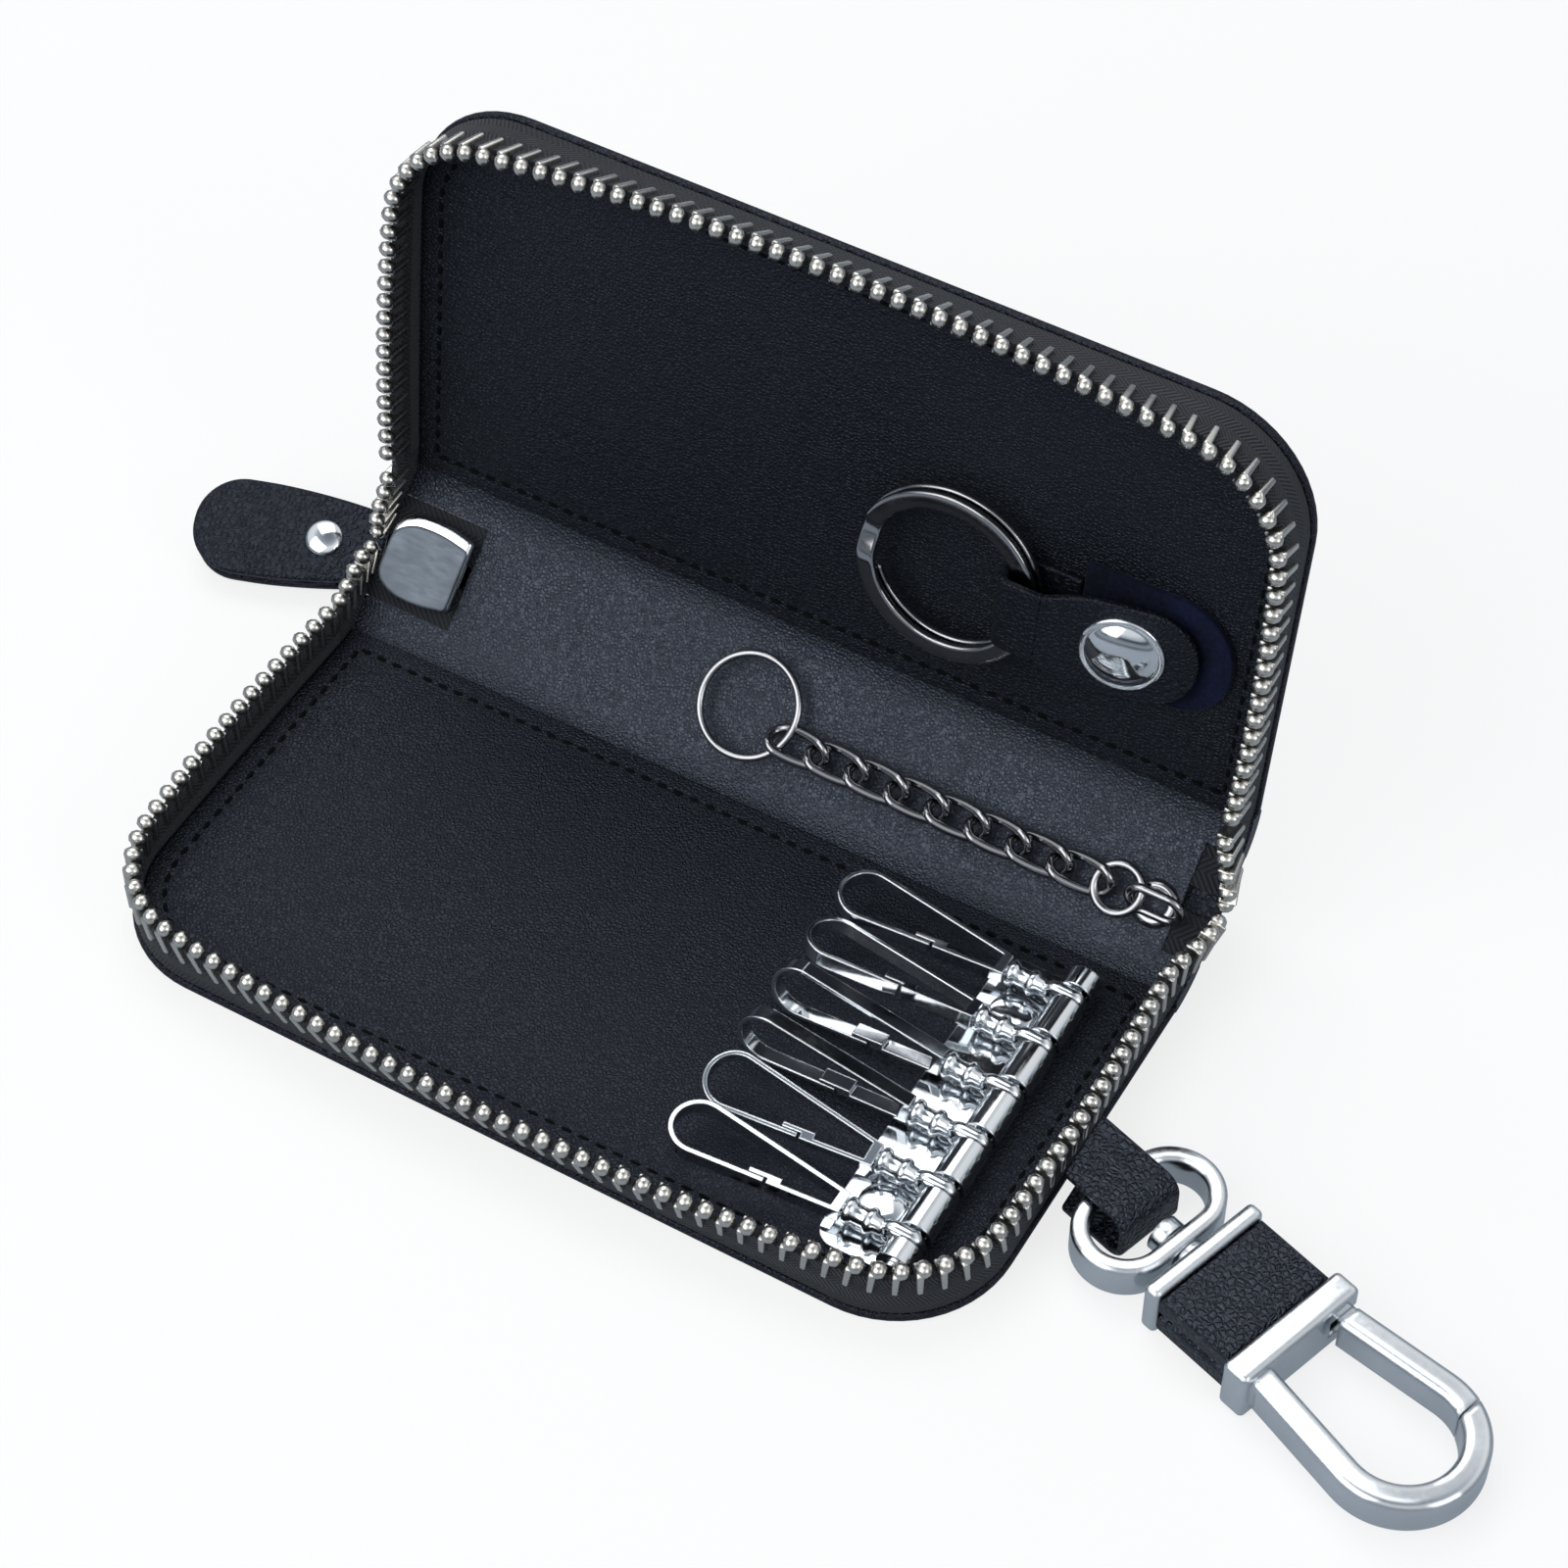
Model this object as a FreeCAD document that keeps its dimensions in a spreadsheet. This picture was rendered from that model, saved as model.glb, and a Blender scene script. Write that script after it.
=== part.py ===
import FreeCAD, Part
import math
import os
import re
from types import SimpleNamespace

import Sketcher

# A zip-round leather key case, open, with its lower half flat on the table.
# The origin is the middle of the lower cover's underside. +X runs along the spine to the clasp's end,
# +Y from the front edge to the spine and +Z up. Lengths are millimetres and angles degrees.

V = FreeCAD.Vector
P = FreeCAD.Placement
R = FreeCAD.Rotation
X_AXIS = V(1, 0, 0)
Y_AXIS = V(0, 1, 0)
Z_AXIS = V(0, 0, 1)

SIZES = {
    # leather case
    "case_length": 119.0,
    "panel_depth": 60.0,
    "spine_width": 21.0,
    "corner_radius": 15.0,
    "cover_thick": 1.2,
    "board_thick": 0.8,
    "lining_thick": 1.0,
    "fold_half": 3.5,
    "fold_thick": 2.2,
    "fold_angle": 41.0,
    "spine_left_inset": 12.5,
    "spine_right_inset": 4.5,
    "fold_left_inset": 1.5,
    "fold_right_inset": 2.0,
    "overrun": 1.0,
    # zip tapes and teeth
    "tape_inset": 0.4,
    "tape_thick": 0.9,
    "liner_gap": 0.15,
    "wall_end": 6.0,
    "bow_long": 2.5,
    "bow_short": 0.6,
    "tooth_gap": 0.35,
    "tooth_rise": 2.4,
    "tooth_pitch": 2.6,
    "tooth_leg": 1.9,
    "tooth_neck": 0.6,
    "tooth_leg_width": 1.1,
    "tooth_head_width": 1.6,
    "tooth_depth": 2.2,
    "tail_thick": 0.8,
    "tail_start": 3.6,
    "tail_gap": 3.2,
    "tail_right_inset": 1.2,
    "gusset_bulge": 2.0,
    # zip slider and pull
    "slider_inset": 1.5,
    "slider_length": 10.7,
    "slider_width": 9.5,
    "slider_plate": 1.2,
    "slider_channel": 2.6,
    "slider_nose_radius": 4.2,
    "slider_tail_radius": 1.5,
    "slider_post_radius": 1.3,
    "slider_post_back": 2.75,
    "slider_flange_thick": 0.8,
    "slider_flange_length": 4.5,
    "slider_slot": 1.1,
    "lug_wall": 1.0,
    "lug_width": 1.4,
    "lug_hole_length": 3.0,
    "lug_hole_height": 3.4,
    "bail_wire": 1.3,
    "bail_play": 0.5,
    "bail_inner_width": 4.2,
    "bail_inner_length": 8.0,
    "pull_yaw": 18.0,
    "pull_roll": 22.0,
    "tab_start": 5.6,
    "tab_length": 25.5,
    "tab_width": 13.0,
    "tab_neck_width": 9.0,
    "tab_neck_length": 9.0,
    "tab_thick": 3.6,
    "tab_end_radius": 6.2,
    "tab_slot_depth": 5.0,
    "tab_slot_height": 1.7,
    "pull_rivet_back": 8.0,
    "pull_rivet_radius": 2.5,
    "pull_rivet_rise": 0.9,
    "pull_rivet_shank": 1.1,
    # six-hook bar
    "hook_pitch_share": 0.13,
    "hooks_forward_share": 0.025,
    "rod_inset": 10.0,
    "rod_radius": 1.1,
    "rod_fit": 0.05,
    "rod_overhang": 0.6,
    "knuckle_radius": 2.2,
    "knuckle_lift": 0.2,
    "plate_width": 10.5,
    "plate_thick": 0.6,
    "plate_corner": 2.5,
    "slot_width": 2.1,
    "slot_back": 2.6,
    "dome_radius": 3.0,
    "dome_rise": 0.7,
    "dome_back": 5.6,
    "hook_rise_angle": 4.0,
    "eye_radius": 2.0,
    "eye_width": 1.7,
    "eye_fit": 0.1,
    "arm_height": 1.4,
    "block_start": 4.6,
    "block_end": 8.3,
    "block_side": 2.6,
    "pin_radius": 0.8,
    "pin_fit": 0.05,
    "pin_depth": 2.8,
    "snap_gap": 0.2,
    "snap_head_length": 1.2,
    "snap_head_width": 3.0,
    "strip_thick": 0.55,
    "strip_height": 2.0,
    "snap_reach": 31.2,
    "snap_tip_share": 0.47,
    "latch_back": 9.0,
    "latch_gap": 0.4,
    "latch_lap": 2.0,
    "latch_root": 1.6,
    "latch_play": 0.15,
    # chain and wire key ring
    "chain_inset": 12.0,
    "chain_w": 8.3,
    "link_inner_length": 5.8,
    "link_inner_width": 2.6,
    "link_wire": 1.1,
    "link_play": 0.2,
    "jump_ring_radius": 3.0,
    "ring_play": 0.5,
    "lie_gap": 0.1,
    "key_ring_radius": 6.5,
    "key_ring_wire": 1.0,
    "key_ring_turn": 20.0,
    # split ring in its snap strap
    "ring_inset": 41.3,
    "ring_v": 24.5,
    "ring_outer_radius": 12.0,
    "ring_radial": 2.3,
    "ring_turn_thick": 1.0,
    "ring_turn_gap": 0.45,
    "ring_step_angle": 24.0,
    "ring_mouth_angle": 5.0,
    "ring_height": 3.2,
    "strap_thick": 1.0,
    "strap_loop_width": 10.0,
    "strap_loop_back": 2.9,
    "strap_loop_front": 2.4,
    "strap_loop_height": 4.4,
    "strap_bend_radius": 2.0,
    "strap_foot": 5.0,
    "backing_width": 16.0,
    "backing_end": 25.0,
    "backing_round": 7.6,
    "strap_joint_gap": 0.2,
    "flap_length": 19.3,
    "flap_width": 13.6,
    "flap_neck": 10.0,
    "flap_shoulder": 5.0,
    "flap_round": 6.4,
    "flap_end_gap": 0.4,
    "snap_back": 10.2,
    "cap_radius": 5.2,
    "cap_rise": 1.7,
    "stud_radius": 2.2,
    "stud_gap": 0.25,
    # swivel clasp
    "link_out": 11.5,
    "link_y": -4.0,
    "clasp_yaw": -18.0,
    "clasp_mid": 4.0,
    "link_long": 20.0,
    "link_wide": 12.5,
    "link_wall": 2.2,
    "link_height": 5.0,
    "link_edge": 0.7,
    "loop_width": 9.0,
    "loop_thick": 1.0,
    "loop_rise": 5.6,
    "loop_gap": 0.35,
    "loop_back": 2.55,
    "loop_front": 4.75,
    "loop_bend": 2.4,
    "post_radius": 1.25,
    "post_fit": 0.08,
    "post_head_radius": 2.3,
    "post_head_length": 1.7,
    "post_play": 0.2,
    "collar_gap": 1.2,
    "collar_length": 2.2,
    "collar_width": 17.2,
    "collar_height": 7.6,
    "collar_edge": 0.7,
    "inlay_length": 10.6,
    "inlay_width": 16.2,
    "inlay_thick": 2.1,
    "inlay_gap": 0.05,
    "inlay_edge": 0.6,
    "core_width": 10.4,
    "core_height": 2.4,
    "fork_length": 3.6,
    "fork_width": 18.4,
    "clasp_hook_reach": 24.8,
    "clasp_hook_radius": 9.8,
    "clasp_hook_root": 7.6,
    "clasp_arm": 3.4,
    "clasp_hook_height": 5.2,
    "clasp_hook_edge": 0.9,
    "gate_start": 1.0,
    "gate_reach": 17.7,
    "gate_gap": 0.3,
    "gate_pin_radius": 0.7,
    "gate_pin_fit": 0.03,
    "gate_pin_length": 6.0,
    "gate_pin_back": 1.5,
    "gate_pin_side": 7.0,
    "tongue_radius": 1.3,
    "tongue_height": 2.5,
    "tongue_play": 0.1,
    "tongue_room": 2.4,
}

# sizes that follow from the driving ones
FOLLOWING = {
    "spine_left": "case_length / 2 - spine_left_inset",
    "spine_right": "case_length / 2 - spine_right_inset",
    "fold_left": "case_length / 2 - fold_left_inset",
    "fold_right": "case_length / 2 - fold_right_inset",
    "tail_left_end": "case_length / 2",
    "tail_right_end": "case_length / 2 - tail_right_inset",
    "slider_left_end": "case_length / 2 - slider_inset",
    "hook_pitch": "panel_depth * hook_pitch_share",
    "hooks_y": "-panel_depth * hooks_forward_share",
    "rod_x": "case_length / 2 - rod_inset",
    "snap_tip_radius": "hook_pitch * snap_tip_share",
    "chain_x": "case_length / 2 - chain_inset",
    "ring_x": "case_length / 2 - ring_inset",
    "link_x": "case_length / 2 + link_out",
}

HOOK_COUNT = 6
CHAIN_LINKS = 8
# how far each snap hook is turned on its swivel, from face up
HOOK_TURNS = (0.0, -14.0, 78.0, 84.0, 16.0, 0.0)
LINK_TURN = 45.0
# how much of a side's half a round end takes, just short of all
FULL_ROUND_SHARE = 0.998
# how far along its pitch each half's row of teeth starts
TOOTH_STEP_SHARES = {"lower": 0.0, "upper": 0.5}

doc = FreeCAD.newDocument("key_case")
sheet = doc.addObject("Spreadsheet::Sheet", "Sizes")
cells = {name: str(value) for name, value in SIZES.items()}
cells.update({name: "=" + formula for name, formula in FOLLOWING.items()})
for row, (name, value) in enumerate(cells.items(), 1):
    sheet.set(f"A{row}", name)
    sheet.setAlias(f"B{row}", name)
    sheet.set(f"B{row}", value)
doc.recompute()
d = SimpleNamespace(**{name: float(sheet.get(name)) for name in cells})

parts = {}


# Building blocks

def ex(text):
    """A formula in sheet names, as the document's expressions write it."""
    return re.sub(r"[a-z_]+", lambda m: "Sizes." + m.group(0) if m.group(0) in cells else m.group(0), text)


def keep(label, shape_object, place):
    """Names a finished sub-part and puts it in its place."""
    shape_object.Label = label
    doc.recompute()
    shape_object.Placement = place
    parts[label] = shape_object
    return shape_object


def feature(label, shape, place):
    """A sub-part whose form is worked out from the sheet's sizes here."""
    made = doc.addObject("Part::Feature", label)
    made.Shape = shape
    return keep(label, made, place * shape.Placement)


def locate(item, at):
    for axis, text in zip("xyz", at):
        if text != "0":
            item.setExpression(f"Placement.Base.{axis}", ex(text))


def box(name, size, at=("0", "0", "0")):
    """A box by its three sizes and its low corner."""
    made = doc.addObject("Part::Box", name)
    for side, text in zip(("Length", "Width", "Height"), size):
        made.setExpression(side, ex(text))
    locate(made, at)
    return made


def block(name, size, middle=("0", "0", "0")):
    """A box by its three sizes and its middle."""
    return box(name, size, [f"{m} - ({s}) / 2" for s, m in zip(size, middle)])


AXIS_TURNS = {"x": R(Y_AXIS, 90), "y": R(X_AXIS, -90), "z": R()}


def cylinder(name, radius, height, at=("0", "0", "0"), axis="z"):
    """A cylinder that starts at a point and runs along an axis."""
    made = doc.addObject("Part::Cylinder", name)
    made.setExpression("Radius", ex(radius))
    made.setExpression("Height", ex(height))
    made.Placement = P(V(), AXIS_TURNS[axis])
    locate(made, at)
    return made


def dome(name, radius, rise, at=("0", "0", "0")):
    """The upper half of a flattened ball."""
    made = doc.addObject("Part::Ellipsoid", name)
    made.setExpression("Radius1", ex(rise))
    made.setExpression("Radius2", ex(radius))
    made.setExpression("Radius3", ex(radius))
    made.Angle1 = 0
    locate(made, at)
    return made


def fuse(name, *items):
    made = doc.addObject("Part::MultiFuse", name)
    made.Shapes = list(items)
    return made


def group(name, *items):
    made = doc.addObject("Part::Compound", name)
    made.Links = list(items)
    return made


def cut(name, base, *tools):
    made = doc.addObject("Part::Cut", name)
    made.Base = base
    made.Tool = tools[0] if len(tools) == 1 else fuse(name + "_tools", *tools)
    return made


def common(name, base, tool):
    made = doc.addObject("Part::Common", name)
    made.Base = base
    made.Tool = tool
    return made


def rounded(name, base, radius, wanted=lambda edge: True):
    """Rounds the edges of a Part object that are asked for."""
    doc.recompute()
    made = doc.addObject("Part::Fillet", name)
    made.Base = base
    made.Edges = [(k, radius, radius) for k, edge in enumerate(base.Shape.Edges, 1) if wanted(edge)]
    return made


def upright(edge):
    ends = [v.Point for v in edge.Vertexes]
    return len(ends) == 2 and (ends[0] - ends[1]).cross(Z_AXIS).Length < Part.Precision.confusion()


def plate(name, loops, thickness, rounds=()):
    """A flat piece: a sketch of closed straight-sided loops, padded, with chosen corners rounded.

    Each corner is a pair of formulas, and rounds holds (loop, corner, radius formula).
    """
    body = doc.addObject("PartDesign::Body", name)
    sketch = body.newObject("Sketcher::SketchObject", name + "_outline")
    plane = next(f for f in body.Origin.OriginFeatures if f.Role == "XY_Plane")
    sketch.AttachmentSupport = [(plane, "")]
    sketch.MapMode = "FlatFace"
    first = []
    for loop in loops:
        start = sketch.GeometryCount
        first.append(start)
        count = len(loop)
        turn = 2 * math.pi / count
        spots = [V(math.cos(turn * i), math.sin(turn * i), 0) for i in range(count)]
        for i in range(count):
            sketch.addGeometry(Part.LineSegment(spots[i], spots[(i + 1) % count]))
        for i in range(count):
            sketch.addConstraint(Sketcher.Constraint("Coincident", start + i, 2, start + (i + 1) % count, 1))
        for i, corner in enumerate(loop):
            for axis, text, line in zip("XY", corner, (-2, -1)):
                if text == "0":
                    sketch.addConstraint(Sketcher.Constraint("PointOnObject", start + i, 1, line))
                    continue
                key = f"{axis.lower()}_{start + i}"
                place = sketch.addConstraint(Sketcher.Constraint("Distance" + axis, -1, 1, start + i, 1, 1.0))
                sketch.renameConstraint(place, key)
                sketch.setExpression("Constraints." + key, ex(text))
    doc.recompute()
    tip = body.newObject("PartDesign::Pad", name + "_pad")
    tip.Profile = sketch
    tip.setExpression("Length", ex(thickness))
    doc.recompute()
    for k, (loop, corner, radius) in enumerate(rounds):
        spot = sketch.Geometry[first[loop] + corner].StartPoint
        edges = []
        for j, edge in enumerate(tip.Shape.Edges, 1):
            low = edge.Vertexes[0].Point
            if upright(edge) and math.hypot(low.x - spot.x, low.y - spot.y) < Part.Precision.approximation():
                edges.append(f"Edge{j}")
        base = tip
        tip = body.newObject("PartDesign::Fillet", f"{name}_round_{k}")
        tip.Base = (base, edges)
        tip.setExpression("Radius", ex(radius))
        doc.recompute()
    return body


def rectangle(left, right, low, high):
    return [(left, low), (right, low), (right, high), (left, high)]


# Shared levels and frames

stack = d.cover_thick + d.board_thick + d.lining_thick
tape_edge = d.spine_width / 2 - d.tooth_gap - d.tooth_rise
lower = P(V(0, d.panel_depth / 2, 0), R())
spine = lower * P(V(), R(X_AXIS, d.fold_angle))
upper = spine * P(V(0, d.spine_width, 0), R(X_AXIS, d.fold_angle))
HALVES = (("lower", lower, -1), ("upper", upper, 1))
LINER_INSET = "(tape_inset + tape_thick + liner_gap)"


# Covers, boards and linings

def panel(label, frame, side, inset, thickness, level):
    half = f"(case_length / 2 - {inset})"
    front = f"{side} * (panel_depth - {inset})"
    back = f"{side} * fold_half"
    corner = f"corner_radius - {inset}"
    made = plate(label, [rectangle("-" + half, half, back, front)], thickness, [(0, 2, corner), (0, 3, corner)])
    keep(label, made, frame * P(V(0, 0, level), R()))


def spine_strip(label, right, thickness, level):
    outline = rectangle("-spine_left", right, "fold_half", "spine_width - fold_half")
    made = plate(label, [outline], thickness)
    keep(label, made, spine * P(V(0, 0, level), R()))


def fold(label, frame):
    """The bare leather that bends between two stiffened pieces."""
    radius = "fold_half / tan(fold_angle * 1deg / 2)"
    outer = cylinder(label + "_outer", radius, "fold_left + fold_right")
    outer.setExpression("Angle", ex("fold_angle"))
    inner = cylinder(label + "_inner", radius + " - fold_thick", "fold_left + fold_right + 2 * overrun",
                     ("0", "0", "-overrun"))
    made = cut(label, outer, inner)
    doc.recompute()
    start = V(-d.fold_left, -d.fold_half, outer.Radius.Value)
    keep(label, made, frame * P(start, R(-Z_AXIS, Y_AXIS, X_AXIS, "ZXY")))


for half_name, half_frame, half_side in HALVES:
    panel(half_name + "_cover", half_frame, half_side, "0", "cover_thick", 0)
    panel(half_name + "_board", half_frame, half_side, LINER_INSET, "board_thick", d.cover_thick)
    panel(half_name + "_lining", half_frame, half_side, LINER_INSET, "lining_thick",
          d.cover_thick + d.board_thick)

spine_strip("spine_cover", "fold_right", "cover_thick", 0)
spine_strip("spine_lining", "spine_right", "lining_thick", d.cover_thick)
fold("lower_fold", lower)
fold("upper_fold", spine * P(V(0, d.spine_width, 0), R()))


# Zip tapes and teeth

def arc_between(centre, radius, start, end):
    """The shorter arc about a centre from one point to another."""
    middle = (start - centre) + (end - centre)
    return Part.Arc(start, centre + middle.normalize() * radius, end).toShape()


def wall_path(side, inset, bowed, level):
    """The five edges of one line of the tape wall, from its right end round the front to its left end.

    At its foot the line is straight-sided, and at its rim the sides bow outward.
    """
    half = d.case_length / 2 - d.tape_inset
    deep = d.panel_depth - d.tape_inset
    corner = d.corner_radius - d.tape_inset
    if bowed:
        chord = half - corner
        front_radius = (chord ** 2 + d.bow_long ** 2) / (2 * d.bow_long)
        front = V(0, deep + d.bow_long - front_radius, level)
        chord = (deep - corner - d.wall_end) / 2
        flank_radius = (chord ** 2 + d.bow_short ** 2) / (2 * d.bow_short)
        flank = V(half + d.bow_short - flank_radius, (deep - corner + d.wall_end) / 2, level)
        between = flank - front
        reach = between.Length
        near = front_radius - corner
        along = (near ** 2 - (flank_radius - corner) ** 2 + reach ** 2) / (2 * reach)
        across = math.sqrt(near ** 2 - along ** 2)
        between.normalize()
        foot = front + between * along
        shift = between.cross(Z_AXIS) * across
        middle = max(foot + shift, foot - shift, key=lambda p: p.x + p.y)
        rise = flank_radius - inset
        start = V(flank.x + math.sqrt(rise ** 2 - (d.wall_end - flank.y) ** 2), d.wall_end, level)
        turn_in = flank + (middle - flank).normalize() * rise
        turn_out = front + (middle - front).normalize() * (front_radius - inset)
        mirrored = V(-turn_out.x, turn_out.y, level)
        first = arc_between(flank, rise, start, turn_in)
        ahead = arc_between(front, front_radius - inset, turn_out, mirrored)
    else:
        middle = V(half - corner, deep - corner, level)
        start = V(half - inset, d.wall_end, level)
        turn_in = V(half - inset, deep - corner, level)
        turn_out = V(half - corner, deep - inset, level)
        first = Part.makeLine(start, turn_in)
        ahead = Part.makeLine(turn_out, V(-turn_out.x, turn_out.y, level))
    bend = arc_between(middle, corner - inset, turn_in, turn_out)
    right = [first, bend]
    left = [edge.mirror(V(), X_AXIS) for edge in reversed(right)]
    edges = right + [ahead] + left
    if side < 0:
        edges = [edge.mirror(V(), Y_AXIS) for edge in edges]
    return edges


def end_points(edges):
    """The first and last points of a path whose edges follow each other along X from right to left."""
    ends = [v.Point for edge in (edges[0], edges[-1]) for v in edge.Vertexes]
    depth = min(abs(p.y) for p in ends)
    tips = [p for p in ends if abs(abs(p.y) - depth) < Part.Precision.approximation()]
    return max(tips, key=lambda p: p.x), min(tips, key=lambda p: p.x)


def band(side, bowed, level):
    """The closed outline of the tape wall at one level."""
    outer = wall_path(side, 0, bowed, level)
    inner = wall_path(side, d.tape_thick, bowed, level)
    outer_right, outer_left = end_points(outer)
    inner_right, inner_left = end_points(inner)
    ends = [Part.makeLine(outer_left, inner_left), Part.makeLine(inner_right, outer_right)]
    return Part.Wire(Part.__sortEdges__(outer + inner + ends))


def tape(label, frame, side):
    wall = Part.makeLoft([band(side, False, d.cover_thick), band(side, True, tape_edge)], True, True)
    feature(label, wall, frame)


def tooth(foot, rim, along):
    """One tooth clamped on the tape's edge, from its leg to its wider head."""
    up = (rim - foot).normalize()
    along = (along - up * along.dot(up)).normalize()
    outward = along.cross(up)
    leg = d.tooth_leg_width / 2
    head = d.tooth_head_width / 2
    half = [(leg, -d.tooth_leg), (leg, d.tooth_neck), (head, d.tooth_neck), (head, d.tooth_rise)]
    outline = half + [(-s, h) for s, h in reversed(half)]
    origin = rim - outward * (d.tooth_depth / 2)
    corners = [origin + along * s + up * h for s, h in outline]
    return Part.Face(Part.makePolygon(corners + corners[:1])).extrude(outward * d.tooth_depth)


def teeth(label, frame, side, step_share):
    """Teeth at an even pitch along the rim. The halves are half a pitch out of step, so they can mesh."""
    feet = wall_path(side, d.tape_thick / 2, False, d.cover_thick)
    rims = wall_path(side, d.tape_thick / 2, True, tape_edge)
    total = sum(rim.Length for rim in rims)
    last = total - d.tooth_head_width
    steps = int((last - d.tooth_head_width) / d.tooth_pitch)
    spot = (total - steps * d.tooth_pitch) / 2 + d.tooth_pitch * step_share
    passed = 0
    made = []
    for k, (foot, rim) in enumerate(zip(feet, rims)):
        mirrored = k > len(rims) // 2
        while spot < min(passed + rim.Length, last):
            share = (spot - passed) / rim.Length
            if mirrored:
                share = 1 - share
            there = rim.FirstParameter + (rim.LastParameter - rim.FirstParameter) * share
            below = foot.FirstParameter + (foot.LastParameter - foot.FirstParameter) * share
            made.append(tooth(foot.valueAt(below), rim.valueAt(there), rim.tangentAt(there)))
            spot += d.tooth_pitch
        passed += rim.Length
    feature(label, Part.makeCompound(made), frame)


def flat_faced(sections):
    """A solid through four-cornered sections, its twisted sides made of flat triangles.

    Opposite sides are split along like diagonals, so that a thin wall keeps its thickness.
    """
    sides = [sections[0][::-1], sections[-1]]
    for near, far in zip(sections, sections[1:]):
        for k in range(len(near)):
            after = (k + 1) % len(near)
            if k < len(near) // 2:
                sides.append([near[k], near[after], far[after]])
                sides.append([near[k], far[after], far[k]])
            else:
                sides.append([near[k], near[after], far[k]])
                sides.append([near[after], far[after], far[k]])
    shell = Part.makeShell([Part.Face(Part.makePolygon(side + side[:1])) for side in sides])
    shell.sewShape()
    made = Part.Solid(shell)
    if made.Volume < 0:
        made.reverse()
    return made


def gusset(label, frame, side):
    """The two free stretches of tape that bulge out across a fold, from the side walls to the tails."""
    outer = wall_path(side, 0, False, d.cover_thick)
    inner = wall_path(side, d.tape_thick, False, d.cover_thick)
    outer_rim = wall_path(side, 0, True, tape_edge)
    inner_rim = wall_path(side, d.tape_thick, True, tape_edge)
    walls = [end_points(path) for path in (outer, outer_rim, inner_rim, inner)]
    seam = d.tail_start
    rim = (d.spine_width - d.tail_gap) / 2
    tail_levels = (d.cover_thick, d.cover_thick + d.tail_thick)
    made = []
    for end, reach in ((0, d.tail_right_end), (1, -d.tail_left_end)):
        near = [frame.multVec(wall[end]) for wall in walls]
        spots = [(seam, tail_levels[0]), (rim, tail_levels[0]), (rim, tail_levels[1]), (seam, tail_levels[1])]
        if side > 0:
            spots = [(d.spine_width - w, level) for w, level in spots]
        far = [spine.multVec(V(reach, w, level)) for w, level in spots]
        bulge = X_AXIS * math.copysign(d.gusset_bulge, reach)
        middle = [(a + b) / 2 + bulge for a, b in zip(near, far)]
        made.append(flat_faced([near, middle, far]))
    feature(label, Part.makeCompound(made), P())


for half_name, half_frame, half_side in HALVES:
    tape(half_name + "_zip_tape", half_frame, half_side)
    teeth(half_name + "_zip_teeth", half_frame, half_side, TOOTH_STEP_SHARES[half_name])
    gusset(half_name + "_gussets", half_frame, half_side)


def zip_tails():
    """The tape ends sewn on at the spine lining's ends, two at each end."""
    width = "(spine_width - tail_gap) / 2 - tail_start"
    left = "tail_left_end - spine_left"
    right = "tail_right_end - spine_right"
    made = []
    for name, start in (("low", "tail_start"), ("high", "(spine_width + tail_gap) / 2")):
        made.append(box(f"tail_left_{name}", (left, width, "tail_thick"), ("-tail_left_end", start, "0")))
        made.append(box(f"tail_right_{name}", (right, width, "tail_thick"), ("spine_right", start, "0")))
    keep("zip_tails", group("zip_tails", *made), spine * P(V(0, 0, d.cover_thick), R()))


zip_tails()


# Zip slider and its pull

slider_frame = spine * P(V(-d.slider_left_end + d.slider_length / 2, d.spine_width / 2,
                           d.cover_thick + d.tail_thick / 2), R())


def zip_slider():
    """Two shield plates joined by a post at the mouth, with flanges behind and a lug for the pull."""
    half_x = "slider_length / 2"
    half_y = "slider_width / 2"
    made = []
    for name, level in (("inner", "slider_channel / 2"), ("outer", "-slider_channel / 2 - slider_plate")):
        outline = rectangle("-" + half_x, half_x, "-" + half_y, half_y)
        shield = plate(f"slider_{name}", [outline], "slider_plate",
                       [(0, 0, "slider_nose_radius"), (0, 3, "slider_nose_radius"),
                        (0, 1, "slider_tail_radius"), (0, 2, "slider_tail_radius")])
        locate(shield, ("0", "0", level))
        made.append(shield)
    post = cylinder("slider_post", "slider_post_radius", "slider_channel",
                    ("-slider_post_back", "0", "-slider_channel / 2"))
    made.append(post)
    flange = ("slider_flange_length", "slider_flange_thick", "(slider_channel - slider_slot) / 2")
    for side in ("-1", "1"):
        across = f"{side} * (slider_width - slider_flange_thick) / 2"
        along = "slider_length / 2 - slider_tail_radius - slider_flange_length / 2"
        for name, level in (("up", "1"), ("down", "-1")):
            height = f"{level} * (slider_channel + slider_slot) / 4"
            made.append(block(f"flange_{name}_{side}", flange, (along, across, height)))
    lug = ("lug_hole_length + 2 * lug_wall", "lug_width", "lug_hole_height + lug_wall")
    arch = box("slider_lug", lug, ("-slider_length / 2", "-lug_width / 2",
                                   "-slider_channel / 2 - slider_plate - lug_hole_height - lug_wall"))
    hole = box("slider_lug_hole", ("lug_hole_length", "lug_width + 2 * overrun", "lug_hole_height"),
               ("-slider_length / 2 + lug_wall", "-lug_width / 2 - overrun",
                "-slider_channel / 2 - slider_plate - lug_hole_height"))
    made.append(cut("slider_arch", arch, hole))
    keep("zip_slider", fuse("zip_slider", *made), slider_frame)


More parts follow.
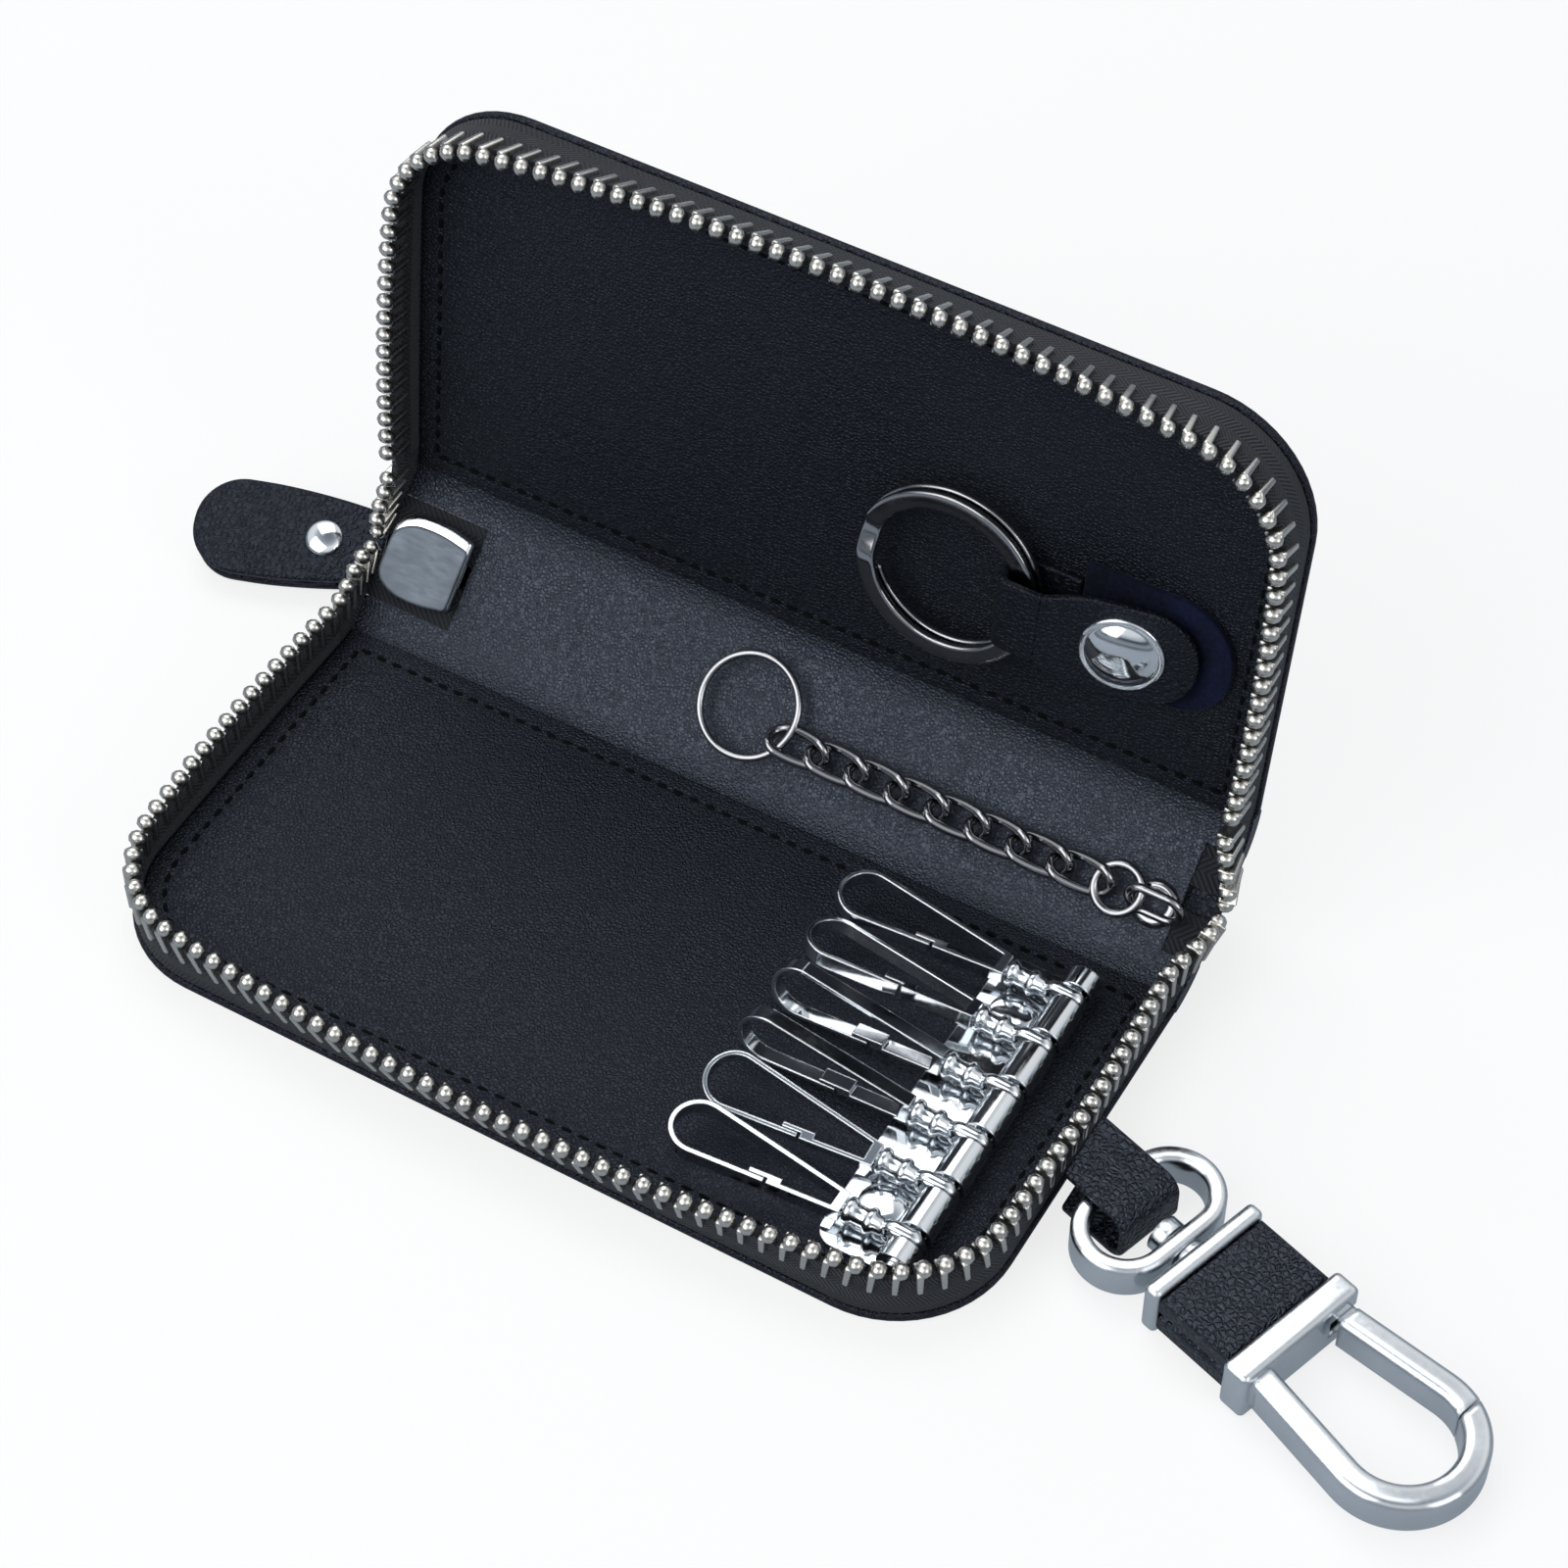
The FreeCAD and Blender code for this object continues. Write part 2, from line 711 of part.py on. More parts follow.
def oval_ring(name, inner_length, inner_width, wire):
    """A wire loop lying along X in the XY plane: two half rings joined by two straight sides."""
    ring = f"({inner_width} + {wire}) / 2"
    straight = f"({inner_length} - {inner_width})"
    made = []
    for k, side in enumerate(("1", "-1")):
        half = doc.addObject("Part::Torus", f"{name}_end_{k}")
        half.setExpression("Radius1", ex(ring))
        half.setExpression("Radius2", ex(f"{wire} / 2"))
        half.Angle3 = 180
        half.Placement = P(V(), R(Z_AXIS, -90 if k == 0 else 90))
        locate(half, (f"{side} * {straight} / 2", "0", "0"))
        made.append(half)
        made.append(cylinder(f"{name}_side_{k}", f"{wire} / 2", straight,
                             (f"-{straight} / 2", f"{side} * {ring}", "0"), "x"))
    return fuse(name, *made)


pivot = slider_frame.multVec(V(-d.slider_length / 2 + d.lug_wall + d.lug_hole_length / 2, 0,
                               -d.slider_channel / 2 - d.slider_plate - d.lug_hole_height
                               + d.bail_play + d.bail_wire / 2))
pull_frame = P(pivot, R(Z_AXIS, d.pull_yaw) * R(X_AXIS, d.pull_roll))


def zip_pull():
    """The wire bail through the slider's lug, the folded leather tab on it and the tab's rivet."""
    bail = oval_ring("zip_bail", "bail_inner_length", "bail_inner_width", "bail_wire")
    reach = (d.bail_inner_length + d.bail_wire) / 2
    keep("zip_bail", bail, pull_frame * P(V(-reach, 0, 0), R()))
    end = "-tab_start - tab_length"
    neck = "-tab_start - tab_neck_length"
    outline = [(end, "-tab_width / 2"), (neck, "-tab_width / 2"), ("-tab_start", "-tab_neck_width / 2"),
               ("-tab_start", "tab_neck_width / 2"), (neck, "tab_width / 2"), (end, "tab_width / 2")]
    leather = plate("tab_leather", [outline], "tab_thick",
                    [(0, 0, "tab_end_radius"), (0, 5, "tab_end_radius")])
    locate(leather, ("0", "0", "-tab_thick / 2"))
    slot = box("tab_slot", ("tab_slot_depth + overrun", "tab_neck_width + 2 * overrun", "tab_slot_height"),
               ("-tab_start - tab_slot_depth", "-tab_neck_width / 2 - overrun", "-tab_slot_height / 2"))
    spot = "-tab_start - pull_rivet_back"
    hole = cylinder("tab_hole", "pull_rivet_shank", "tab_thick + 2 * overrun",
                    (spot, "0", "-tab_thick / 2 - overrun"))
    keep("zip_pull_tab", cut("zip_pull_tab", leather, slot, hole), pull_frame)
    shank = cylinder("pull_rivet_shank_pin", "pull_rivet_shank", "tab_thick", (spot, "0", "-tab_thick / 2"))
    top = dome("pull_rivet_top", "pull_rivet_radius", "pull_rivet_rise", (spot, "0", "tab_thick / 2"))
    foot = cylinder("pull_rivet_foot", "pull_rivet_radius", "pull_rivet_rise / 2",
                    (spot, "0", "-tab_thick / 2 - pull_rivet_rise / 2"))
    keep("pull_rivet", fuse("pull_rivet", shank, top, foot), pull_frame)


zip_slider()
zip_pull()


# Six-hook bar

rod_height = stack + d.knuckle_lift + d.knuckle_radius
bar_frame = P(V(d.rod_x, d.hooks_y, rod_height), R())
BAR_LENGTH = f"({HOOK_COUNT} * hook_pitch)"
BAR_FOOT = "-knuckle_radius - knuckle_lift"


def hook_spot(k):
    """Where hook k sits along the rod, from the spine's end to the front."""
    return ((HOOK_COUNT - 1) / 2 - k) * d.hook_pitch


def hook_bar():
    foot = plate("bar_foot", [rectangle("-plate_width", "0", f"-{BAR_LENGTH} / 2", f"{BAR_LENGTH} / 2")],
                 "plate_thick", [(0, 0, "plate_corner"), (0, 3, "plate_corner")])
    locate(foot, ("0", "0", BAR_FOOT))
    tube = cylinder("bar_tube", "knuckle_radius", BAR_LENGTH, ("0", f"-{BAR_LENGTH} / 2", "0"), "y")
    web = box("bar_web", ("knuckle_radius", BAR_LENGTH, "knuckle_radius + knuckle_lift"),
              ("-knuckle_radius / 2", f"-{BAR_LENGTH} / 2", BAR_FOOT))
    tools = [cylinder("bar_bore", "rod_radius + rod_fit", f"{BAR_LENGTH} + 2 * overrun",
                      ("0", f"-{BAR_LENGTH} / 2 - overrun", "0"), "y")]
    slot = ("slot_back + knuckle_radius + overrun", "slot_width",
            "2 * (knuckle_radius + knuckle_lift + overrun)")
    for k in range(HOOK_COUNT):
        across = f"({HOOK_COUNT - 1} / 2 - {k}) * hook_pitch - slot_width / 2"
        tools.append(box(f"bar_slot_{k}", slot, ("-slot_back", across, BAR_FOOT + " - overrun")))
    keep("hook_plate", cut("hook_plate", fuse("bar_blank", foot, tube, web), *tools), bar_frame)
    length = f"{BAR_LENGTH} + 2 * rod_overhang"
    keep("hook_rod", cylinder("hook_rod", "rod_radius", length), bar_frame
         * P(V(0, -HOOK_COUNT * d.hook_pitch / 2 - d.rod_overhang, 0), AXIS_TURNS["y"]))
    spread = f"({HOOK_COUNT} / 2 - 1) * hook_pitch"
    level = BAR_FOOT + " + plate_thick"
    domes = [dome(f"plate_rivet_{side}", "dome_radius", "dome_rise",
                  ("-dome_back", f"{side} * {spread}", level))
             for side in ("1", "-1")]
    keep("hook_plate_rivets", group("hook_plate_rivets", *domes), bar_frame)


def shackle(label, place):
    """A swivel: an eye on the rod, an arm and a block with a bore for the hook's pin."""
    eye = cylinder(label + "_eye", "eye_radius", "eye_width", ("0", "-eye_width / 2", "0"), "y")
    arm = box(label + "_arm", ("block_start", "eye_width", "arm_height"),
              ("-block_start", "-eye_width / 2", "-arm_height / 2"))
    head = box(label + "_head", ("block_end - block_start", "block_side", "block_side"),
               ("-block_end", "-block_side / 2", "-block_side / 2"))
    bore = cylinder(label + "_bore", "rod_radius + eye_fit", "eye_width + 2 * overrun",
                    ("0", "-eye_width / 2 - overrun", "0"), "y")
    seat = cylinder(label + "_seat", "pin_radius + pin_fit", "pin_depth + overrun",
                    ("-block_end - overrun", "0", "0"), "x")
    keep(label, cut(label, fuse(label + "_blank", eye, arm, head), bore, seat), place)


def pear(root, root_half, tip, tip_radius, inset):
    """A closed pear-shaped outline along X: straight sides that run out from a root to a round tip.

    The sides touch the tip's circle, and an inset keeps them parallel.
    """
    reach = tip - tip_radius - root
    slant = math.asin(tip_radius / math.hypot(root_half, reach)) - math.atan2(root_half, reach)
    radius = tip_radius - inset
    start = root + inset
    half = root_half - inset / math.cos(slant) + inset * math.tan(slant)
    centre = V(tip - tip_radius, 0, 0)
    touch = V(centre.x - radius * math.sin(slant), radius * math.cos(slant), 0)
    low_touch = V(touch.x, -touch.y, 0)
    low = V(start, -half, 0)
    high = V(start, half, 0)
    tip_arc = Part.Arc(low_touch, V(centre.x + radius, 0, 0), touch).toShape()
    edges = [Part.makeLine(low, low_touch), tip_arc, Part.makeLine(touch, high), Part.makeLine(high, low)]
    return Part.Wire(edges), slant


def pear_ring(root, root_half, tip, tip_radius, wall, height):
    """A pear-shaped loop of strip, as tall as the strip, standing across the XY plane."""
    outer, slant = pear(root, root_half, tip, tip_radius, 0)
    inner, slant = pear(root, root_half, tip, tip_radius, wall)
    face = Part.Face(outer).cut(Part.Face(inner))
    face.translate(V(0, 0, -height / 2))
    return face.extrude(V(0, 0, height)).Solids[0], slant


def snap_hook(label, place):
    """A spring-strip hook: a pear-shaped loop with a lapped latch in one side, on a head with a pin."""
    root = d.block_end + d.snap_gap
    root_half = d.snap_head_width / 2
    loop, slant = pear_ring(root, root_half, d.snap_reach, d.snap_tip_radius, d.strip_thick, d.strip_height)
    side = P(V(root, root_half, 0), R(Z_AXIS, math.degrees(slant)))
    gap = Part.makeBox(d.latch_gap, d.strip_thick + 2 * d.overrun, d.strip_height + 2 * d.overrun,
                       V(d.latch_back, -d.strip_thick - d.overrun, -d.strip_height / 2 - d.overrun))
    gap.Placement = side * gap.Placement
    lap = Part.makeBox(d.latch_root + d.latch_gap + d.latch_lap, d.strip_thick, d.strip_height,
                       V(d.latch_back - d.latch_root, -2 * d.strip_thick - d.latch_play, -d.strip_height / 2))
    lap.Placement = side * lap.Placement
    foot = Part.makeBox(d.latch_root, d.strip_thick + d.latch_play, d.strip_height,
                        V(d.latch_back - d.latch_root, -d.strip_thick - d.latch_play, -d.strip_height / 2))
    foot.Placement = side * foot.Placement
    head = Part.makeBox(d.snap_head_length, d.snap_head_width, d.strip_height,
                        V(root, -root_half, -d.strip_height / 2))
    pin = Part.makeCylinder(d.pin_radius, d.pin_depth, V(root - d.pin_depth, 0, 0), X_AXIS)
    whole = loop.cut(gap).fuse([lap, foot, head, pin]).removeSplitter()
    whole.rotate(V(), Z_AXIS, 180)
    feature(label, whole.Solids[0], place)


hook_bar()
for k in range(HOOK_COUNT):
    hook_frame = bar_frame * P(V(0, hook_spot(k), 0), R(Y_AXIS, d.hook_rise_angle))
    shackle(f"hook_{k + 1}_shackle", hook_frame)
    snap_hook(f"hook_{k + 1}_snap", hook_frame * P(V(), R(X_AXIS, HOOK_TURNS[k])))


# Chain and wire key ring, lying on the spine

chain_height = (d.cover_thick + d.lining_thick + d.lie_gap + d.link_wire / 2
                + (d.link_inner_width + d.link_wire) / 2 * math.sin(math.radians(LINK_TURN)))
chain_frame = spine * P(V(d.chain_x, d.chain_w, chain_height), R())


def torus(label, ring, wire, place):
    made = doc.addObject("Part::Torus", label)
    made.setExpression("Radius1", ex(ring))
    made.setExpression("Radius2", ex(f"{wire} / 2"))
    keep(label, made, place)


def chain():
    """A wire anchor at the lining's end, a jump ring, links turned by turns each way, and a wire key ring."""
    ring_half = d.jump_ring_radius - d.link_wire / 2
    step = ring_half + d.link_inner_length / 2 - d.ring_play
    turned = R(X_AXIS, LINK_TURN)
    link = ("link_inner_length", "link_inner_width", "link_wire")
    keep("chain_anchor", oval_ring("chain_anchor", *link), chain_frame * P(V(step, 0, 0), turned))
    torus("chain_jump_ring", "jump_ring_radius", "link_wire", chain_frame)
    spot = -step
    for k in range(1, CHAIN_LINKS + 1):
        label = f"chain_link_{k}"
        keep(label, oval_ring(label, *link), chain_frame * P(V(spot, 0, 0), turned))
        turned = turned.inverted()
        spot -= d.link_inner_length - d.link_play
    last_inner_end = spot + d.link_inner_length / 2 - d.link_play
    through = last_inner_end + d.ring_play + d.key_ring_wire / 2
    turn = math.radians(d.key_ring_turn)
    middle = V(through - d.key_ring_radius * math.cos(turn), d.key_ring_radius * math.sin(turn), 0)
    torus("wire_key_ring", "key_ring_radius", "key_ring_wire", chain_frame * P(middle, R()))


chain()


# Split ring and its snap strap, on the upper lining

ring_frame = upper * P(V(d.ring_x, d.ring_v, stack + d.ring_height), R())
ring_mid_radius = d.ring_outer_radius - d.ring_radial / 2
strap_frame = upper * P(V(d.ring_x + ring_mid_radius, d.ring_v, stack), R())


def split_ring():
    """Two flat turns of one strip, joined by a sloping step, with an open mouth beside it at each end."""
    inner = d.ring_outer_radius - d.ring_radial
    rise = d.ring_turn_thick + d.ring_turn_gap
    base = -d.ring_turn_thick - d.ring_turn_gap / 2
    sweep = 360 - d.ring_step_angle - d.ring_mouth_angle

    def turn_of(level, start):
        whole = Part.makeCylinder(d.ring_outer_radius, d.ring_turn_thick, V(0, 0, level), Z_AXIS, sweep)
        core = Part.makeCylinder(inner, d.ring_turn_thick, V(0, 0, level), Z_AXIS, 360)
        made = whole.cut(core)
        made.rotate(V(), Z_AXIS, start)
        return made

    def end_of(level, angle):
        facing = R(Z_AXIS, angle)
        corners = [facing.multVec(V(r, 0, z)) for r, z in ((inner, level), (d.ring_outer_radius, level),
                   (d.ring_outer_radius, level + d.ring_turn_thick), (inner, level + d.ring_turn_thick))]
        return Part.makePolygon(corners + corners[:1])

    low = turn_of(base, d.ring_step_angle / 2 + d.ring_mouth_angle)
    high = turn_of(base + rise, d.ring_step_angle / 2)
    ends = [end_of(base, -d.ring_step_angle / 2), end_of(base + rise, d.ring_step_angle / 2)]
    step = Part.makeLoft(ends, True, True)
    whole = low.fuse([high, step]).removeSplitter()
    whole.rotate(V(), Z_AXIS, 180)
    feature("split_ring", whole.Solids[0], ring_frame)


flap_fall = d.strap_loop_height - d.flap_end_gap
flap_drop = math.degrees(math.asin(flap_fall / (d.flap_length + d.strap_joint_gap)))
strap_top = 2 * d.strap_thick + d.strap_loop_height
flap_hinge = V(d.strap_loop_front + d.strap_joint_gap / 2, 0, strap_top)
flap_frame = strap_frame * P(flap_hinge, R(Y_AXIS, flap_drop))


def snap_strap():
    """A leather loop round the ring, a suede backing with the snap's stud, and the flap with its cap."""
    top = "2 * strap_thick + strap_loop_height"
    under = "strap_thick + strap_loop_height"
    outline = rectangle("-strap_loop_back - strap_thick", "strap_foot", "0", top)
    whole = plate("loop_whole", [outline], "strap_loop_width",
                  [(0, 0, "strap_bend_radius"), (0, 3, "strap_bend_radius")])
    inside = "strap_bend_radius - strap_thick"
    outline = rectangle("-strap_loop_back", "strap_foot + overrun", "strap_thick", under)
    room = plate("loop_room", [outline], "strap_loop_width + 2 * overrun", [(0, 0, inside), (0, 3, inside)])
    locate(room, ("0", "0", "-overrun"))
    room_size = ("strap_foot - strap_loop_front + overrun", "strap_loop_height + strap_thick + overrun",
                 "strap_loop_width + 2 * overrun")
    over = box("loop_over", room_size, ("strap_loop_front", "strap_thick", "-overrun"))
    keep("ring_strap_loop", cut("ring_strap_loop", whole, room, over),
         strap_frame * P(V(0, d.strap_loop_width / 2, 0), R(X_AXIS, 90)))
    half = "backing_width / 2"
    outline = rectangle("strap_foot + strap_joint_gap", "backing_end", "-" + half, half)
    backing = plate("ring_strap_backing", [outline], "strap_thick",
                    [(0, 1, "backing_round"), (0, 2, "backing_round")])
    keep("ring_strap_backing", backing, strap_frame)
    outline = [("strap_joint_gap / 2", "-flap_neck / 2"), ("flap_shoulder", "-flap_width / 2"),
               ("flap_length", "-flap_width / 2"), ("flap_length", "flap_width / 2"),
               ("flap_shoulder", "flap_width / 2"), ("strap_joint_gap / 2", "flap_neck / 2")]
    flap = plate("ring_strap_flap", [outline], "strap_thick", [(0, 2, "flap_round"), (0, 3, "flap_round")])
    keep("ring_strap_flap", flap, flap_frame * P(V(0, 0, -d.strap_thick), R()))
    keep("snap_cap", dome("snap_cap", "cap_radius", "cap_rise"), flap_frame * P(V(d.snap_back, 0, 0), R()))
    drop = math.radians(flap_drop)
    foot = flap_frame.multVec(V(d.snap_back, 0, -d.strap_thick))
    spot = strap_frame.inverse().multVec(foot)
    height = spot.z - d.strap_thick - d.stud_gap - d.stud_radius * math.tan(drop)
    stud = Part.makeCylinder(d.stud_radius, height)
    feature("snap_stud", stud, strap_frame * P(V(spot.x, 0, d.strap_thick), R()))


split_ring()
snap_strap()


# Swivel clasp, flat on the table

clasp_frame = P(V(d.link_x, d.link_y, d.clasp_mid), R(Z_AXIS, d.clasp_yaw))
COLLAR_START = "(link_wide / 2 + collar_gap)"
INLAY_START = f"({COLLAR_START} + collar_length)"
FORK_START = f"({INLAY_START} + inlay_length)"
HOOK_START = f"({FORK_START} + fork_length)"
fork_end = d.link_wide / 2 + d.collar_gap + d.collar_length + d.inlay_length + d.fork_length


def clasp_loop():
    """The leather loop sewn to the case's end, round one side of the oval link."""
    through = "(link_wall - link_wide) / 2"
    end = f"{through} + loop_front + loop_thick"
    level = "loop_rise / 2"
    outer = rectangle("-link_x + case_length / 2 - loop_width", end,
                      f"-{level} - loop_thick", f"{level} + loop_thick")
    inner = rectangle(f"{through} - loop_back", f"{through} + loop_front", "-" + level, level)
    inside = "loop_bend - loop_thick"
    tube = plate("loop_tube", [outer, inner], "loop_width",
                 [(0, 1, "loop_bend"), (0, 2, "loop_bend"), (1, 1, inside), (1, 2, inside)])
    tube.Placement = P(V(0, d.loop_width / 2, 0), R(X_AXIS, 90))
    case_end = d.case_length / 2 - d.tape_inset + d.bow_short + (d.tooth_depth - d.tape_thick) / 2 + d.loop_gap
    within = box("case_side", ("case_length", "panel_depth", "spine_width"))
    corner = V(case_end - d.case_length, -d.panel_depth / 2, -d.spine_width / 2 + d.clasp_mid)
    within.Placement = clasp_frame.inverse() * P(corner, R())
    keep("clasp_strap", cut("clasp_strap", tube, within), clasp_frame)


def oval_link():
    half_x = "link_wide / 2"
    half_y = "link_long / 2"
    outer = rectangle("-" + half_x, half_x, "-" + half_y, half_y)
    inner = rectangle(f"-({half_x} - link_wall)", f"{half_x} - link_wall", f"-({half_y} - link_wall)",
                      f"{half_y} - link_wall")
    bend = f"link_wide / 2 * {FULL_ROUND_SHARE}"
    rounds = [(0, k, bend) for k in range(4)] + [(1, k, bend + " - link_wall") for k in range(4)]
    ring = plate("oval_link_ring", [outer, inner], "link_height", rounds)
    locate(ring, ("0", "0", "-link_height / 2"))
    hole = cylinder("oval_link_hole", "post_radius + post_fit", "link_wall + 2 * overrun",
                    (half_x + " - link_wall - overrun", "0", "0"), "x")
    soft = rounded("oval_link_soft", ring, d.link_edge, lambda edge: not upright(edge))
    keep("oval_link", cut("oval_link", soft, hole), clasp_frame)


def clasp_body():
    """The post, the frame with its fixed hook, the two leather inlays, the gate and its pin."""
    wall = "link_wide / 2 - link_wall"
    head = cylinder("post_head", "post_head_radius", "post_head_length",
                    (wall + " - post_play - post_head_length", "0", "0"), "x")
    shank = cylinder("post_shank", "post_radius", "post_play + link_wall + collar_gap",
                     (wall + " - post_play", "0", "0"), "x")
    ring = cylinder("post_ring", "post_head_radius", "collar_gap - post_play",
                    ("link_wide / 2 + post_play", "0", "0"), "x")
    keep("swivel_post", fuse("swivel_post", head, shank, ring), clasp_frame)

    collar = rounded("collar", block("collar_block", ("collar_length", "collar_width", "collar_height"),
                                     (COLLAR_START + " + collar_length / 2", "0", "0")), d.collar_edge)
    fork = rounded("fork", block("fork_block", ("fork_length", "fork_width", "collar_height"),
                                 (FORK_START + " + fork_length / 2", "0", "0")), d.collar_edge)
    core = block("clasp_core", ("inlay_length + 2 * collar_edge", "core_width", "core_height"),
                 (INLAY_START + " + inlay_length / 2", "0", "0"))
    loop, slant = pear_ring(fork_end - d.clasp_arm, d.clasp_hook_root, fork_end + d.clasp_hook_reach,
                            d.clasp_hook_radius, d.clasp_arm, d.clasp_hook_height)
    root = fork_end - d.collar_edge
    behind = Part.makeBox(d.clasp_arm + d.overrun, 2 * d.clasp_hook_radius, 2 * d.collar_height,
                          V(root - d.clasp_arm - d.overrun, -d.clasp_hook_radius, -d.collar_height))
    bow = loop.cut(behind).Solids[0]
    long_edges = [edge for edge in bow.Edges
                  if edge.BoundBox.ZLength < d.gate_gap and edge.BoundBox.XLength > d.clasp_arm]
    bow = bow.makeFillet(d.clasp_hook_edge, long_edges)
    bow_object = doc.addObject("Part::Feature", "clasp_bow")
    bow_object.Shape = bow
    gate_x = f"{HOOK_START} + gate_start"
    room = ("gate_reach - gate_start", "clasp_hook_radius + overrun", "collar_height")
    clear_room = ("gate_reach + gate_gap + overrun", "clasp_hook_radius + overrun", "collar_height")
    free = box("gate_free", clear_room, (HOOK_START + " - overrun", "0", "-collar_height / 2"))
    fixed = cut("clasp_fixed_arm", bow_object, free)
    pin_x = f"({HOOK_START} - gate_pin_back)"
    slot = box("gate_slot", ("gate_pin_back + tongue_radius + tongue_play + overrun", "fork_width / 2",
                             "tongue_height + 2 * tongue_play"),
               (f"{pin_x} - tongue_radius - tongue_play", "gate_pin_side - tongue_room",
                "-tongue_height / 2 - tongue_play"))
    pin_bore = cylinder("gate_pin_bore", "gate_pin_radius + gate_pin_fit", "gate_pin_length",
                        (pin_x, "gate_pin_side", "-gate_pin_length / 2"))
    frame_blank = fuse("clasp_blank", collar, fork, core)
    forked = cut("clasp_forked", frame_blank, slot, pin_bore)
    keep("clasp_frame", fuse("clasp_frame", forked, fixed), clasp_frame)

    pads = []
    for name, side in (("top", "1"), ("bottom", "-1")):
        middle = (INLAY_START + " + inlay_length / 2", "0", f"{side} * (core_height + inlay_thick) / 2")
        pad = block(f"inlay_{name}", ("inlay_length - 2 * inlay_gap", "inlay_width", "inlay_thick"), middle)
        pads.append(rounded(f"inlay_{name}_soft", pad, d.inlay_edge))
    keep("clasp_leather", group("clasp_leather", *pads), clasp_frame)

    arm = common("gate_arm", bow_object, box("gate_room", room, (gate_x, "0", "-collar_height / 2")))
    nose = cylinder("gate_nose", "tongue_radius", "tongue_height",
                    (pin_x, "gate_pin_side", "-tongue_height / 2"))
    tongue_size = ("gate_pin_back + gate_start + clasp_hook_edge", "2 * tongue_radius", "tongue_height")
    tongue = box("gate_tongue", tongue_size, (pin_x, "gate_pin_side - tongue_radius", "-tongue_height / 2"))
    eye = cylinder("gate_eye", "gate_pin_radius + gate_pin_fit", "tongue_height + 2 * overrun",
                   (pin_x, "gate_pin_side", "-tongue_height / 2 - overrun"))
    keep("clasp_gate", cut("clasp_gate", fuse("gate_blank", arm, nose, tongue), eye), clasp_frame)
    pin_spot = V(fork_end - d.gate_pin_back, d.gate_pin_side, 0)
    keep("gate_pin", cylinder("gate_pin", "gate_pin_radius", "gate_pin_length"),
         clasp_frame * P(pin_spot - V(0, 0, d.gate_pin_length / 2), R()))


clasp_loop()
oval_link()
clasp_body()


# Checks and export

doc.recompute()
faults = [item.Name for item in doc.Objects if "Invalid" in item.State or "Error" in item.State]
faults += [label for label, item in parts.items() if item.Shape.isNull() or not item.Shape.isValid()]
if faults:
    raise RuntimeError("failed: " + ", ".join(faults))
os.makedirs("parts", exist_ok=True)
for label, item in parts.items():
    item.Shape.exportStep(f"parts/{label}.step")
print(len(parts), "sub-parts")
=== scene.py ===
import math

import bmesh
import bpy
import numpy as np
from bpy.props import FloatProperty, FloatVectorProperty, PointerProperty
from mathutils import Matrix, Vector


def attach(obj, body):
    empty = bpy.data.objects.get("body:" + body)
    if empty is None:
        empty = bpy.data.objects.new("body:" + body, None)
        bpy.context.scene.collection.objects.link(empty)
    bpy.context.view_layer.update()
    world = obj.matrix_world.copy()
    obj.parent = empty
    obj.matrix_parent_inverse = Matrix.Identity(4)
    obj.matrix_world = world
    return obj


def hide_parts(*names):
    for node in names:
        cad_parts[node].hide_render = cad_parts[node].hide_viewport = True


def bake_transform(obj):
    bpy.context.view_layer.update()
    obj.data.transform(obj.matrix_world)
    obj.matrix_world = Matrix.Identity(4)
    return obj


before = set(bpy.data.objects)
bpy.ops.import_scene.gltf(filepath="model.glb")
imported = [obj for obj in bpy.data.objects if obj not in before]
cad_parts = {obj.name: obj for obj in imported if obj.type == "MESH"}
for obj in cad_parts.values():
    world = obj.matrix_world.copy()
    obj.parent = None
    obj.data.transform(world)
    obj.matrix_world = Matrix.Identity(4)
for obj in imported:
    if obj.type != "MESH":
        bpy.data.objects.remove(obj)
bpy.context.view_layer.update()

bl_info = {
    "name": "Zip-round key case",
    "version": (1, 0, 0),
    "blender": (4, 5, 0),
    "location": "3D View > Sidebar > Key case",
    "description": "Dresses an open leather key case: panels, zip, stitching, straps, hooks and clasp",
    "category": "Object",
}

MM = 0.001
CLOSE = 1e-6
CORNER_STEPS = 14

# Where the lining is cut and sewn
LINING_INSET = 1.45 * MM
SEAM_REACH = 2.6 * MM
SEAM_WIDTH = 1.8 * MM
SEAM_DEPTH = 0.25 * MM

# The zip tape's wall, and its tails on the spine
TAPE_INSET = 0.4 * MM
WALL_END = 6.0 * MM
TAIL_LEFT = -59.5 * MM
TAIL_RIGHT = 58.3 * MM
TAIL_EDGE = 8.9 * MM
TAIL_RISE = 0.4 * MM
TAIL_THICK = 0.8 * MM

# Fittings on the spine and the upper panel, each in its own frame
SLIDER_SPOT = Vector((-52.65, 10.5, 1.6)) * MM
EYELET_SPOT = Vector((52.0, 8.3, 2.2)) * MM
RING_SPOT = Vector((18.2, 24.5, 6.2)) * MM
STRAP_SPOT = Vector((29.05, 24.5, 3.0)) * MM

# Fittings on the lower panel, in the frame of the whole case
CLASP_SPOT = Vector((71, -4, 4)) * MM
CLASP_YAW = math.radians(18)
HOOK_ROD_SPOT = Vector((49.5, -1.5, 5.4)) * MM
HOOK_PITCH = 7.8 * MM
HOOK_COUNT = 6
LINK_COUNT = 8


# Colours and sizes that a user would change

def linear(text):
    """The linear RGBA of an sRGB hex value."""
    channels = [int(text[k:k + 2], 16) / 255 for k in (0, 2, 4)]
    return tuple(c / 12.92 if c <= 0.04045 else ((c + 0.055) / 1.055) ** 2.4 for c in channels) + (1.0,)


